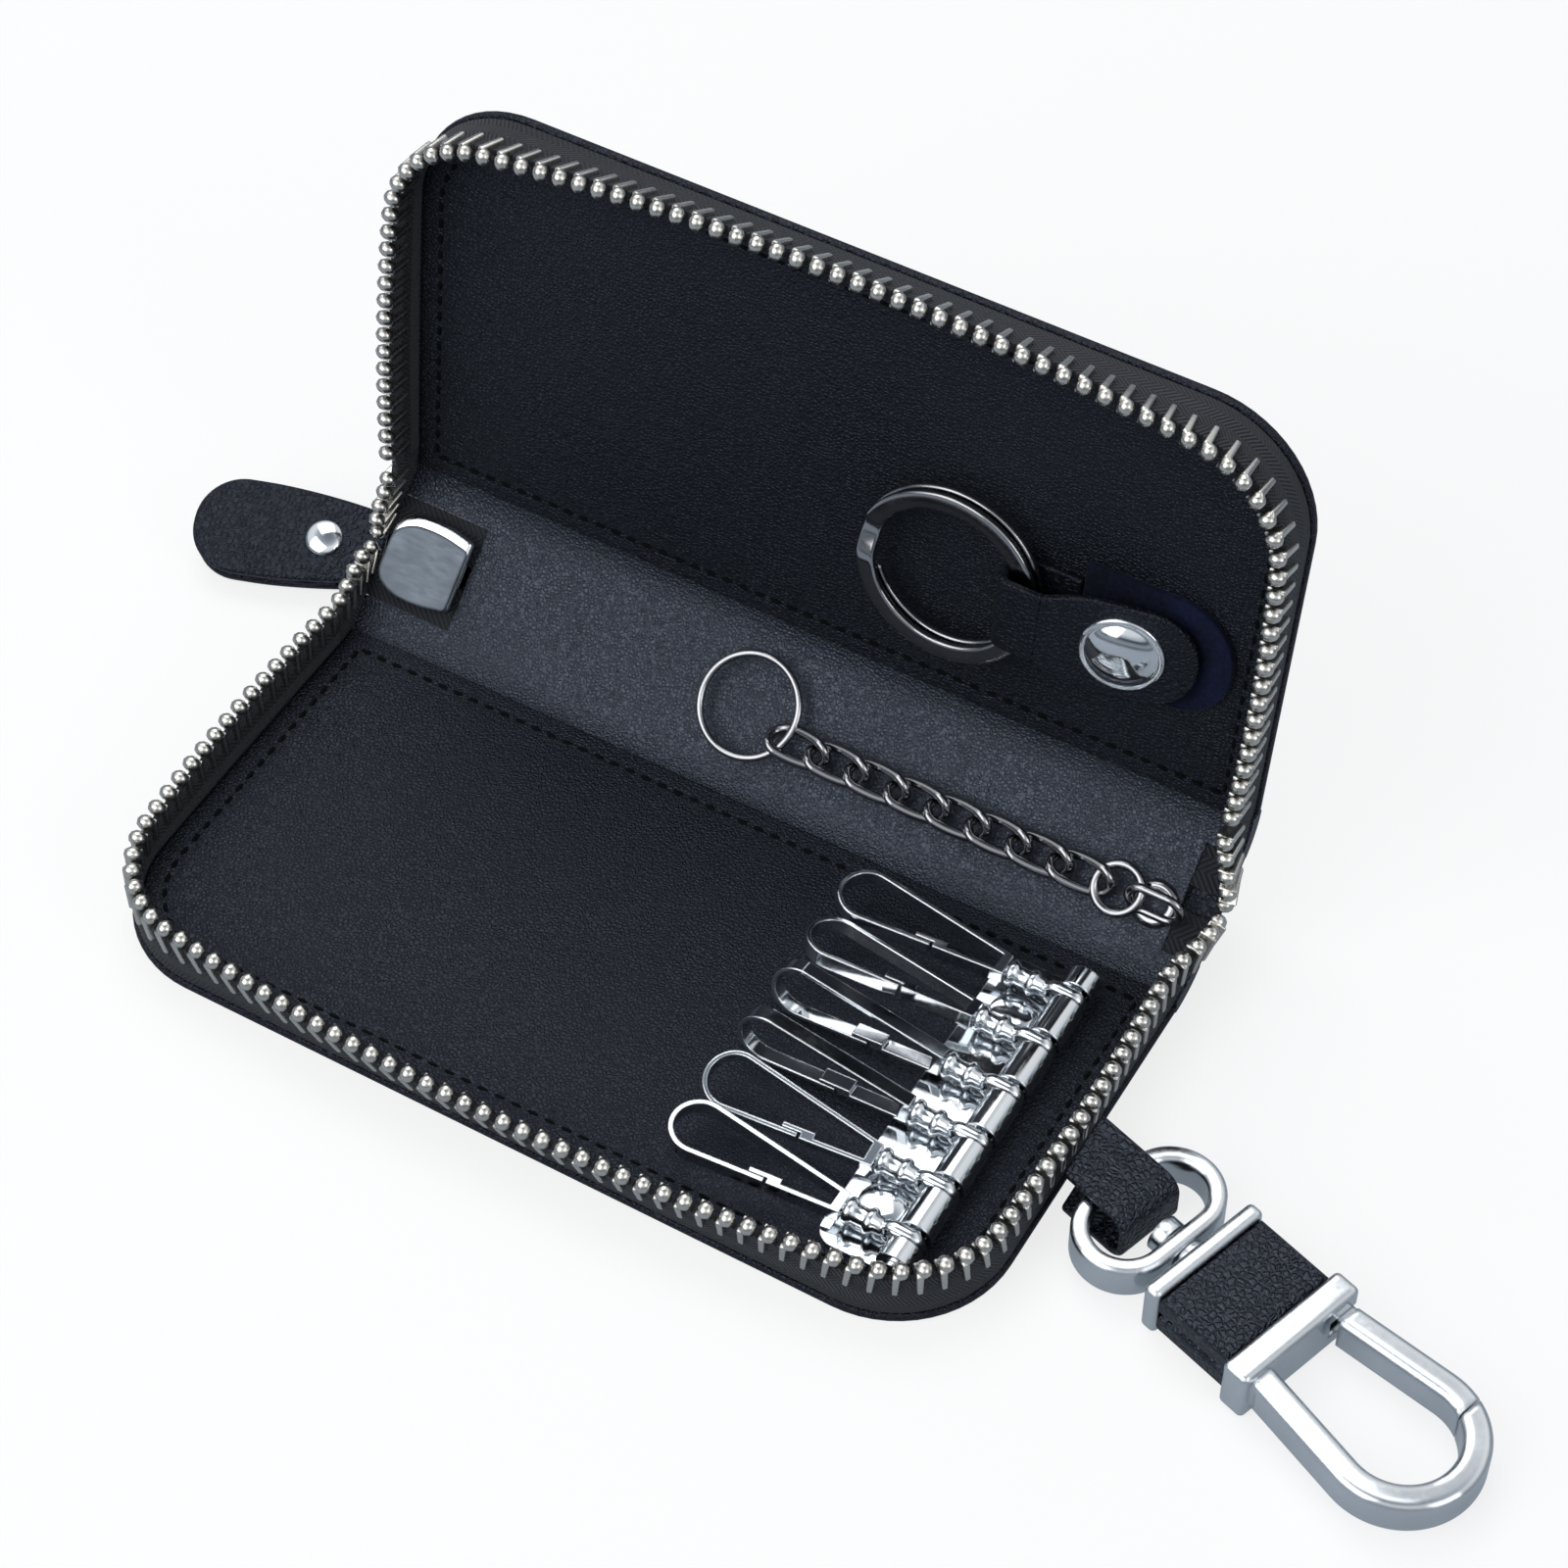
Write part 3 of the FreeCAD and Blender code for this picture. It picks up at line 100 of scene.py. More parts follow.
def length(name, description, size):
    """A size in millimetres as a length property."""
    return FloatProperty(name=name, description=description, default=size * MM, unit="LENGTH")


def colour(name, description, text):
    return FloatVectorProperty(name=name, description=description, default=linear(text), size=4,
                               subtype="COLOR", min=0, max=1)


class KeyCaseSizes(bpy.types.PropertyGroup):
    """Sizes of the case, as the frame has them."""
    case_length: length("Case length", "Length of a panel along the spine", 119.0)
    panel_depth: length("Panel depth", "From the fold to the front edge", 60.0)
    spine_width: length("Spine width", "Between the two folds", 21.0)
    corner_radius: length("Corner radius", "Of a panel's front corners", 15.0)
    fold_angle: FloatProperty(name="Fold angle", description="Turn of each fold", default=math.radians(41.0),
                              subtype="ANGLE")
    cover_thick: length("Cover", "Thickness of the outer leather", 1.2)
    lining_level: length("Lining level", "Where a panel's lining starts", 2.0)
    lining_thick: length("Lining", "Thickness of the lining leather", 1.0)
    fold_half: length("Fold half", "Bare leather each side of a fold's axis", 3.5)
    spine_left: length("Spine left", "Spine's reach to the left", 47.0)
    spine_right: length("Spine right", "Spine's reach to the right", 55.0)
    fold_reach: length("Fold reach", "Folds' reach to either end", 59.5)
    tail_start: length("Tail start", "From a fold's axis to the tape's tail", 3.6)
    tape_edge: length("Tape edge", "Height of the tape's rim", 7.75)
    tape_thick: length("Tape", "Thickness of the zip tape", 0.9)
    rim_bow: length("Rim bow", "How far the front rim bows out", 2.5)
    rim_bulge: length("Rim bulge", "How far a side rim bows out", 0.6)
    tooth_pitch: length("Tooth pitch", "Between zip teeth", 2.6)
    stitch_pitch: length("Stitch pitch", "Between stitches", 2.3)


class KeyCaseColours(bpy.types.PropertyGroup):
    """Colours of the case's materials."""
    leather: colour("Leather", "Tops of the grain", "15181f")
    # Creases is painted shade: the darker colour laid into the hollows between the leather's pebbles
    crease: colour("Creases", "Between the grain", "08090d")
    sheen: colour("Leather sheen", "Light that the leather's finish mirrors", "d9e6ff")
    tape: colour("Tape", "Raised threads of the tape", "262a35")
    # Tape gaps is painted shade: the darker colour laid between the tape's raised threads
    tape_gap_shade: colour("Tape gaps", "Between the threads", "07080b")
    suede: colour("Suede", "Nap of the backing", "1b2140")
    suede_dark: colour("Suede shade", "Brushed-back nap", "070912")
    chrome: colour("Chrome", "Bright plating", "dfe3e7")
    teeth: colour("Teeth", "Nickel zip teeth", "cfccc6")
    dark_nickel: colour("Dark nickel", "Chain and rings", "a3a3a6")
    satin: colour("Satin nickel", "Zip slider", "6c747d")
    thread: colour("Thread", "Waxed sewing thread", "020203")
    floor: colour("Floor", "Table and backdrop", "ffffff")


def sizes():
    return bpy.context.scene.key_case_sizes


def colours():
    return bpy.context.scene.key_case_colours


def lower_place():
    """The lower panel's frame, on its fold's axis."""
    return Matrix.Translation((0, sizes().panel_depth / 2, 0))


def spine_place():
    """The spine's frame, on the lower fold's axis."""
    return lower_place() @ Matrix.Rotation(sizes().fold_angle, 4, "X")


def upper_axis():
    """The upper fold's axis, in line with the spine."""
    return spine_place() @ Matrix.Translation((0, sizes().spine_width, 0))


def upper_place():
    """The upper panel's frame, on its fold's axis."""
    return upper_axis() @ Matrix.Rotation(sizes().fold_angle, 4, "X")


# Modelling helpers

def alone(obj):
    bpy.ops.object.select_all(action="DESELECT")
    obj.select_set(True)
    bpy.context.view_layer.objects.active = obj


def fresh(name):
    """Names the primitive that was just added."""
    obj = bpy.context.active_object
    obj.name = name
    obj.data.name = name
    alone(obj)
    return obj


def choose(obj, kind, test):
    """In edit mode, selects the vertices, edges or faces that pass a test."""
    bpy.ops.mesh.select_mode(type=kind)
    bpy.ops.mesh.select_all(action="DESELECT")
    mesh = bmesh.from_edit_mesh(obj.data)
    items = {"VERT": mesh.verts, "EDGE": mesh.edges, "FACE": mesh.faces}[kind]
    for item in items:
        if test(item):
            item.select_set(True)
    mesh.select_flush_mode()
    bmesh.update_edit_mesh(obj.data)


def apply_modifier(obj, kind, **settings):
    made = obj.modifiers.new(kind.title(), kind)
    for key, value in settings.items():
        setattr(made, key, value)
    alone(obj)
    bpy.ops.object.modifier_apply(modifier=made.name)


def close_up(obj, gap=0.002 * MM):
    """Merges doubles and points the faces outwards."""
    alone(obj)
    bpy.ops.object.mode_set(mode="EDIT")
    bpy.ops.mesh.select_all(action="SELECT")
    bpy.ops.mesh.remove_doubles(threshold=gap)
    bpy.ops.mesh.normals_make_consistent(inside=False)
    bpy.ops.object.mode_set(mode="OBJECT")


def mapped(name, columns, rows, place, across=1.0, up=1.0):
    """A grid drawn onto a surface. place takes shares from 0 to 1, and the UV map is in metres."""
    bpy.ops.object.select_all(action="DESELECT")
    bpy.ops.mesh.primitive_grid_add(x_subdivisions=columns, y_subdivisions=rows, size=1)
    obj = fresh(name)
    for vertex in obj.data.vertices:
        vertex.co = place(vertex.co.x + 0.5, vertex.co.y + 0.5)
    for corner in obj.data.uv_layers.active.data:
        corner.uv = (corner.uv.x * across, corner.uv.y * up)
    return obj


def plate(name, corners, low, high, edge, rounds=None, kept=None, segments=4):
    """A flat piece of leather: an outline with chosen corners rounded, thickened, its edges rounded over.

    rounds maps a corner's number to its radius, and kept says which edges stay square.
    """
    bpy.ops.object.select_all(action="DESELECT")
    bpy.ops.mesh.primitive_circle_add(vertices=len(corners), radius=1, fill_type="NGON")
    obj = fresh(name)
    for vertex, corner in zip(obj.data.vertices, corners):
        vertex.co = (corner[0], corner[1], low)
    spots = {k: Vector((corners[k][0], corners[k][1], low)) for k in rounds or {}}
    bpy.ops.object.mode_set(mode="EDIT")
    for k, spot in spots.items():
        choose(obj, "VERT", lambda vertex: (vertex.co - spot).length < CLOSE)
        bpy.ops.mesh.bevel(offset_type="OFFSET", offset=rounds[k], segments=CORNER_STEPS, affect="VERTICES")
    bpy.ops.mesh.select_all(action="SELECT")
    bpy.ops.mesh.extrude_region_move(TRANSFORM_OT_translate={"value": (0, 0, high - low)})
    bpy.ops.mesh.select_all(action="SELECT")
    bpy.ops.mesh.normals_make_consistent(inside=False)
    choose(obj, "EDGE", lambda rim: abs(rim.verts[0].co.z - rim.verts[1].co.z) < CLOSE / 10
           and not (kept and kept(rim)))
    bpy.ops.mesh.bevel(offset_type="OFFSET", offset=edge, segments=segments, affect="EDGES")
    bpy.ops.object.mode_set(mode="OBJECT")
    return obj


def groove(obj, level, reach, width, depth):
    """Presses a sewing line into the large face at a level."""
    alone(obj)
    bpy.ops.object.mode_set(mode="EDIT")
    choose(obj, "FACE", lambda face: face.normal.z > 0.99
           and abs(face.calc_center_median().z - level) < CLOSE)
    bpy.ops.mesh.inset(thickness=reach - width / 2)
    bpy.ops.mesh.inset(thickness=width / 2, depth=-depth)
    bpy.ops.mesh.inset(thickness=width / 2, depth=depth)
    bpy.ops.object.mode_set(mode="OBJECT")


def put(obj, place):
    obj.data.transform(place)
    return obj


def repeat(name, master, spots):
    """Copies a modelled shape to each spot, and joins the copies into one piece."""
    copies = []
    for spot in spots:
        copy = master.copy()
        copy.data = master.data.copy()
        copy.data.transform(spot)
        bpy.context.collection.objects.link(copy)
        copies.append(copy)
    bpy.data.objects.remove(master)
    bpy.ops.object.select_all(action="DESELECT")
    for copy in copies:
        copy.select_set(True)
    bpy.context.view_layer.objects.active = copies[0]
    bpy.ops.object.join()
    return fresh(name)


def dress(obj, finish, body=None, nodes=(), angle=40.0):
    """Gives a finished piece its shading and material, puts it on its body, and hides the nodes that it
    stands for.
    """
    alone(obj)
    bpy.ops.object.shade_smooth_by_angle(angle=math.radians(angle))
    apply_modifier(obj, "WEIGHTED_NORMAL", keep_sharp=True)
    obj.data.materials.clear()
    obj.data.materials.append(finish)
    if body:
        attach(obj, body)
    if nodes:
        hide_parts(*nodes)
    return obj


# Materials

def node(tree, kind, links=None, **settings):
    """Adds a node with its settings, and sets or links its inputs."""
    made = tree.nodes.new(kind)
    for key, value in settings.items():
        setattr(made, key, value)
    for key, value in (links or {}).items():
        if isinstance(value, bpy.types.NodeSocket):
            tree.links.new(value, made.inputs[key])
        else:
            made.inputs[key].default_value = value
    return made


def blank(name):
    """An empty material and its node tree."""
    made = bpy.data.materials.new(name)
    made.use_nodes = True
    made.node_tree.nodes.clear()
    return made, made.node_tree


def grained_leather(name, grain, depth, roughness, strength, shine):
    """Drum-dyed cow leather: pebbles with creases darkened by painted shade, fine pores, and a low sheen that
    varies.

    grain is a pebble's width and depth the bump's height, both in millimetres.
    """
    made, tree = blank(name)
    spot = node(tree, "ShaderNodeTexCoord").outputs["Object"]
    drift = node(tree, "ShaderNodeTexNoise", {"Vector": spot, "Scale": 0.5 / (grain * MM), "Detail": 2.0})
    moved = node(tree, "ShaderNodeVectorMath", {0: drift.outputs["Color"], "Scale": 0.5 * grain * MM},
                 operation="SCALE")
    bent = node(tree, "ShaderNodeVectorMath", {0: spot, 1: moved.outputs[0]}, operation="ADD")
    cells = node(tree, "ShaderNodeTexVoronoi", {"Vector": bent.outputs[0], "Scale": 1 / (grain * MM)},
                 feature="DISTANCE_TO_EDGE")
    pebble = node(tree, "ShaderNodeMapRange", {"Value": cells.outputs["Distance"], "From Max": 0.28},
                  interpolation_type="SMOOTHSTEP")
    pores = node(tree, "ShaderNodeTexNoise", {"Vector": spot, "Scale": 4 / (grain * MM), "Detail": 3.0})
    patch = 18 * MM
    patches = node(tree, "ShaderNodeTexNoise", {"Vector": spot, "Scale": 1 / patch, "Detail": 3.0})
    grained = node(tree, "ShaderNodeMath", {0: pores.outputs["Fac"], 1: 0.5, 2: pebble.outputs["Result"]},
                   operation="MULTIPLY_ADD")
    height = node(tree, "ShaderNodeMath", {0: patches.outputs["Fac"], 1: 3.0, 2: grained.outputs[0]},
                  operation="MULTIPLY_ADD")
    bump = node(tree, "ShaderNodeBump", {"Height": height.outputs[0], "Strength": strength,
                                         "Distance": depth * MM})
    # painted shade: the colour darkens into the creases between the pebbles, and varies in broad random
    # patches of tone
    patch_tone_and_crease_shade = node(tree, "ShaderNodeMath", {0: patches.outputs["Fac"], 1: pebble.outputs["Result"]},
                operation="MULTIPLY")
    shade = node(tree, "ShaderNodeValToRGB", {"Fac": patch_tone_and_crease_shade.outputs[0]})
    shade.color_ramp.elements[0].color = colours().crease
    shade.color_ramp.elements[1].color = colours().leather
    spread = 0.06
    gloss = node(tree, "ShaderNodeMapRange", {
        "Value": patches.outputs["Fac"], "From Min": 0.3, "From Max": 0.7,
        "To Min": roughness - spread, "To Max": roughness + spread})
    shader = node(tree, "ShaderNodeBsdfPrincipled", {
        "Base Color": shade.outputs["Color"], "Roughness": gloss.outputs["Result"],
        "Normal": bump.outputs["Normal"], "Specular IOR Level": shine, "Specular Tint": colours().sheen})
    node(tree, "ShaderNodeOutputMaterial", {"Surface": shader.outputs["BSDF"]})
    return made


def herringbone_tape():
    """Woven polyester zip tape: twill threads that turn back in bands, matt with a faint sheen."""
    made, tree = blank("herringbone_tape")
    flat = node(tree, "ShaderNodeSeparateXYZ", {0: node(tree, "ShaderNodeTexCoord").outputs["UV"]})
    # the real threads are about half as wide, too fine to show
    band, thread, lint = 2.0 * MM, 0.85 * MM, 0.3 * MM
    zigzag = node(tree, "ShaderNodeMath", {0: flat.outputs["Y"], 1: band}, operation="PINGPONG")
    slant = node(tree, "ShaderNodeMath", {0: flat.outputs["X"], 1: zigzag.outputs[0]}, operation="ADD")
    phase = node(tree, "ShaderNodeMath", {0: slant.outputs[0], 1: 2 * math.pi / thread}, operation="MULTIPLY")
    wave = node(tree, "ShaderNodeMath", {0: phase.outputs[0]}, operation="SINE")
    ridge = node(tree, "ShaderNodeMapRange", {"Value": wave.outputs[0], "From Min": -1.0})
    fuzz = node(tree, "ShaderNodeTexNoise", {"Vector": node(tree, "ShaderNodeTexCoord").outputs["Object"],
                                             "Scale": 1 / lint, "Detail": 2.0})
    height = node(tree, "ShaderNodeMath", {0: fuzz.outputs["Fac"], 1: 0.4, 2: ridge.outputs["Result"]},
                  operation="MULTIPLY_ADD")
    bump = node(tree, "ShaderNodeBump", {"Height": height.outputs[0], "Strength": 1.0, "Distance": 0.25 * MM})
    # the herringbone weave is the tape's own pattern; the darkening into the gaps between the threads is
    # painted shade
    ramp = node(tree, "ShaderNodeValToRGB", {"Fac": ridge.outputs["Result"]})
    ramp.color_ramp.elements[0].color = colours().tape_gap_shade
    ramp.color_ramp.elements[1].color = colours().tape
    gloss = node(tree, "ShaderNodeMapRange", {"Value": fuzz.outputs["Fac"], "To Min": 0.62, "To Max": 0.85})
    shader = node(tree, "ShaderNodeBsdfPrincipled", {
        "Base Color": ramp.outputs["Color"], "Roughness": gloss.outputs["Result"],
        "Normal": bump.outputs["Normal"], "Sheen Weight": 0.08, "Sheen Roughness": 0.5})
    node(tree, "ShaderNodeOutputMaterial", {"Surface": shader.outputs["BSDF"]})
    return made


def napped(name, dark, light, fibre, sheen):
    """Napped suede, spun thread or fibre board: short fibres that scatter light, darker where they lie over.

    fibre is the nap's grain in millimetres.
    """
    made, tree = blank(name)
    spot = node(tree, "ShaderNodeTexCoord").outputs["Object"]
    nap = node(tree, "ShaderNodeTexNoise", {"Vector": spot, "Scale": 1 / (fibre * MM), "Detail": 4.0})
    swirl = node(tree, "ShaderNodeTexNoise", {"Vector": spot, "Scale": 1 / (12 * fibre * MM),
                                              "Detail": 2.0})
    both = node(tree, "ShaderNodeMath", {0: nap.outputs["Fac"], 1: swirl.outputs["Fac"]},
                operation="MULTIPLY")
    reach = node(tree, "ShaderNodeMapRange", {"Value": both.outputs[0], "From Min": 0.1, "From Max": 0.45})
    ramp = node(tree, "ShaderNodeValToRGB", {"Fac": reach.outputs["Result"]})
    ramp.color_ramp.elements[0].color = dark
    ramp.color_ramp.elements[1].color = light
    bump = node(tree, "ShaderNodeBump", {"Height": nap.outputs["Fac"], "Strength": 0.6,
                                         "Distance": 0.15 * MM})
    gloss = node(tree, "ShaderNodeMapRange", {"Value": nap.outputs["Fac"], "To Min": 0.75, "To Max": 0.95})
    shader = node(tree, "ShaderNodeBsdfPrincipled", {
        "Base Color": ramp.outputs["Color"], "Roughness": gloss.outputs["Result"],
        "Normal": bump.outputs["Normal"], "Specular IOR Level": 0.12, "Sheen Weight": sheen,
        "Sheen Roughness": 0.4})
    node(tree, "ShaderNodeOutputMaterial", {"Surface": shader.outputs["BSDF"]})
    return made


def plated(name, tint, low, high, stretch=(1, 1, 1), ripple=0.0, edge=0.3, cloud=0.82):
    """Plated steel or zinc: mirror-like metal with tumbled edges, fine polishing marks and a varied gloss.

    low and high bound the roughness, edge is the tumbled radius in millimetres, and cloud darkens patches.
    """
    made, tree = blank(name)
    spot = node(tree, "ShaderNodeTexCoord").outputs["Object"]
    drawn = node(tree, "ShaderNodeMapping", {"Vector": spot, "Scale": stretch})
    scratch, stain = 0.6 * MM, 6 * MM
    marks = node(tree, "ShaderNodeTexNoise", {"Vector": drawn.outputs["Vector"], "Scale": 1 / scratch,
                                              "Detail": 4.0})
    film = node(tree, "ShaderNodeTexNoise", {"Vector": spot, "Scale": 1 / stain, "Detail": 2.0})
    both = node(tree, "ShaderNodeMath", {0: marks.outputs["Fac"], 1: film.outputs["Fac"]},
                operation="MULTIPLY")
    gloss = node(tree, "ShaderNodeMapRange", {"Value": both.outputs[0], "From Min": 0.12, "From Max": 0.4,
                                              "To Min": low, "To Max": high})
    shade = node(tree, "ShaderNodeValToRGB", {"Fac": film.outputs["Fac"]})
    shade.color_ramp.elements[0].color = [c * cloud for c in tint[:3]] + [1.0]
    shade.color_ramp.elements[1].color = tint
    tumbled = node(tree, "ShaderNodeBevel", {"Radius": edge * MM}, samples=6)
    bump = node(tree, "ShaderNodeBump", {"Height": marks.outputs["Fac"], "Strength": ripple,
                                         "Distance": 0.05 * MM, "Normal": tumbled.outputs["Normal"]})
    shader = node(tree, "ShaderNodeBsdfPrincipled", {
        "Base Color": shade.outputs["Color"], "Metallic": 1.0, "Roughness": gloss.outputs["Result"],
        "Normal": bump.outputs["Normal"]})
    node(tree, "ShaderNodeOutputMaterial", {"Surface": shader.outputs["BSDF"]})
    return made


FINISHES = {}


def finish(name):
    """Makes each material when it is first asked for."""
    if name not in FINISHES:
        tint = colours()
        makers = {
            "lining_leather": lambda: grained_leather("lining_leather", 0.5, 0.11, 0.45, 0.9, 0.43),
            "spine_leather": lambda: grained_leather("spine_leather", 0.5, 0.09, 0.45, 0.9, 0.95),
            "cover_leather": lambda: grained_leather("cover_leather", 0.7, 0.12, 0.46, 0.8, 0.36),
            "pebbled_leather": lambda: grained_leather("pebbled_leather", 0.75, 0.16, 0.38, 0.9, 0.36),
            "polished_leather": lambda: grained_leather("polished_leather", 0.8, 0.2, 0.3, 0.9, 0.6),
            "herringbone_tape": herringbone_tape,
            "navy_suede": lambda: napped("navy_suede", tint.suede_dark, tint.suede, 0.6, 0.12),
            "waxed_thread": lambda: napped("waxed_thread", tint.thread, tint.crease, 0.3, 0.0),
            "fibre_board": lambda: napped("fibre_board", tint.crease, tint.leather, 0.8, 0.0),
            "bright_chrome": lambda: plated("bright_chrome", tint.chrome, 0.05, 0.13),
            "clasp_chrome": lambda: plated("clasp_chrome", tint.chrome, 0.05, 0.12, edge=0.9),
            "nickel_teeth": lambda: plated("nickel_teeth", tint.teeth, 0.18, 0.32, ripple=0.2),
            "dark_nickel": lambda: plated("dark_nickel", tint.dark_nickel, 0.08, 0.18),
            "satin_nickel": lambda: plated("satin_nickel", tint.satin, 0.3, 0.5, stretch=(0.3, 1, 1),
                                           ripple=0.5, edge=0.6, cloud=0.15),
        }
        FINISHES[name] = makers[name]()
    return FINISHES[name]


# Lines round the panels

class Rim:
    """The tape wall's foot and rim lines round one half, from its right end to its left end."""

    def __init__(self, side, place):
        size = sizes()
        self.side = side
        self.place = place
        self.half = size.case_length / 2 - TAPE_INSET
        self.deep = size.panel_depth - TAPE_INSET
        self.corner = size.corner_radius - TAPE_INSET
        self.end = WALL_END
        self.inset = size.tape_thick / 2

    def flat(self, share, bowed):
        """A point of the line, for a share from 0 to 5: a whole number at each end of a stretch."""
        size = sizes()
        mirrored = share > 2.5
        if mirrored:
            share = 5 - share
        stretch = min(int(share), 2)
        along = share - stretch
        half, deep, corner = self.half, self.deep, self.corner
        if not bowed:
            middle = Vector((half - corner, deep - corner))
            if stretch == 0:
                spot = Vector((half - self.inset, self.end + along * (deep - corner - self.end)))
            elif stretch == 1:
                turn = along * math.pi / 2
                spot = middle + (corner - self.inset) * Vector((math.cos(turn), math.sin(turn)))
            else:
                spot = Vector(((half - corner) * (1 - 2 * along), deep - self.inset))
        else:
            bow, bulge = size.rim_bow, size.rim_bulge
            chord = half - corner
            wide = (chord ** 2 + bow ** 2) / (2 * bow)
            front = Vector((0, deep + bow - wide))
            chord = (deep - corner - self.end) / 2
            tall = (chord ** 2 + bulge ** 2) / (2 * bulge)
            flank = Vector((half + bulge - tall, (deep - corner + self.end) / 2))
            between = flank - front
            near = wide - corner
            reach = between.length
            foot = (near ** 2 - (tall - corner) ** 2 + reach ** 2) / (2 * reach)
            across = math.sqrt(near ** 2 - foot ** 2)
            between.normalize()
            sideways = Vector((between.y, -between.x)) * across
            middle = max((front + between * foot + s for s in (sideways, -sideways)),
                         key=lambda p: p.x + p.y)
            to_flank = (middle - flank).normalized()
            to_front = (middle - front).normalized()
            if stretch == 0:
                radius = tall - self.inset
                low = math.asin((self.end - flank.y) / radius)
                high = math.atan2(to_flank.y, to_flank.x)
                turn = low + (high - low) * along
                spot = flank + radius * Vector((math.cos(turn), math.sin(turn)))
            elif stretch == 1:
                low = math.atan2(to_flank.y, to_flank.x)
                high = math.atan2(to_front.y, to_front.x)
                turn = low + (high - low) * along
                spot = middle + (corner - self.inset) * Vector((math.cos(turn), math.sin(turn)))
            else:
                low = math.atan2(to_front.y, to_front.x)
                turn = low + (math.pi - 2 * low) * along
                spot = front + (wide - self.inset) * Vector((math.cos(turn), math.sin(turn)))
        return Vector((-spot.x if mirrored else spot.x, spot.y * self.side))

    def foot(self, share):
        spot = self.flat(share, False)
        return self.place @ Vector((spot.x, spot.y, sizes().cover_thick))

    def top(self, share):
        spot = self.flat(share, True)
        return self.place @ Vector((spot.x, spot.y, sizes().tape_edge))


def halves():
    """The two halves: name, frame, which way the panel runs, body."""
    return (("lower", lower_place(), -1, "case_lower"), ("upper", upper_place(), 1, "case_upper"))


def shares_of(counts):
    """Stations along the five stretches of a rim, so many to each."""
    spots = [k + i / count for k, count in enumerate(counts) for i in range(count)]
    return spots + [len(counts)]


class Gusset:
    """The free stretch of tape from a side wall's end to its tail on the spine."""

    def __init__(self, rim, right):
        size = sizes()
        spine = spine_place()
        share, reach = (0, TAIL_RIGHT) if right else (5, TAIL_LEFT)
        step = 0.02 if right else -0.02
        level = size.cover_thick + TAIL_RISE
        seam, edge = size.tail_start, TAIL_EDGE
        if rim.side > 0:
            seam, edge = size.spine_width - seam, size.spine_width - edge
        inward = -1 if right else 1
        # how stiffly each line leaves the wall and comes in to the spine, in millimetres
        foot_pulls, top_pulls = (6, 2), (9, 10)
        self.lines = []
        for line, across, (run, turn) in ((rim.foot, seam, foot_pulls), (rim.top, edge, top_pulls)):
            start = line(share)
            out = (line(share) - line(share + step)).normalized() * run * MM
            stop = spine @ Vector((reach, across, level))
            into = (spine.to_3x3() @ Vector((inward, 0, 0))) * turn * MM
            self.lines.append((start, out, stop, into))

    def spot(self, line, share):
        """A point of the foot line, 0, or the rim line, 1: a smooth curve from the wall to the tail."""
        start, out, stop, into = self.lines[line]
        two, three = share ** 2, share ** 3
        return ((2 * three - 3 * two + 1) * start + (three - 2 * two + share) * out
                + (3 * two - 2 * three) * stop + (three - two) * into)


# Pieces

class KEYCASE_OT_panels(bpy.types.Operator):
    """Covers and linings of the two panels and the spine, with rounded edges and a pressed sewing line"""
    bl_idname = "keycase.panels"
    bl_label = "Leather panels"

    def execute(self, context):
        size = sizes()
        spine = spine_place()
        lining_top = size.lining_level + size.lining_thick
        cover_edge, lining_edge, spine_edge = 0.45 * MM, 0.35 * MM, 0.3 * MM
        for name, place, side, body in halves():
            back = side * size.fold_half
            for kind, inset, low, high, edge in (
                    ("cover", 0, 0, size.cover_thick, cover_edge),
                    ("lining", LINING_INSET, size.lining_level, lining_top, lining_edge)):
                half = size.case_length / 2 - inset
                front = side * (size.panel_depth - inset)
                corners = [(-half, back), (half, back), (half, front), (-half, front)]
                radius = size.corner_radius - inset
                keep = None
                if kind == "cover":
                    keep = lambda rim, back=back: all(abs(v.co.y - back) < CLOSE for v in rim.verts)
                rounds = {2: radius, 3: radius}
                piece = plate(f"{name}_{kind}_leather", corners, low, high, edge, rounds, keep)
                if kind == "lining":
                    groove(piece, high, SEAM_REACH, SEAM_WIDTH, SEAM_DEPTH)
                put(piece, place)
                dress(piece, finish(f"{kind}_leather"), body, [f"{name}_{kind}"])
        flush = lambda rim: abs(rim.verts[0].co.y - rim.verts[1].co.y) < CLOSE
        near, far = size.fold_half, size.spine_width - size.fold_half
        for kind, right, low, high in (
                ("cover", size.fold_reach, 0, size.cover_thick),
                ("lining", size.spine_right, size.cover_thick, size.cover_thick + size.lining_thick)):
            ends = [(-size.spine_left, near), (right, near), (right, far), (-size.spine_left, far)]
            piece = plate(f"spine_{kind}_leather", ends, low, high, spine_edge, None, flush)
            put(piece, spine)
            surface = "spine_leather" if kind == "lining" else "cover_leather"
            dress(piece, finish(surface), "case_spine", [f"spine_{kind}"])
        return {"FINISHED"}


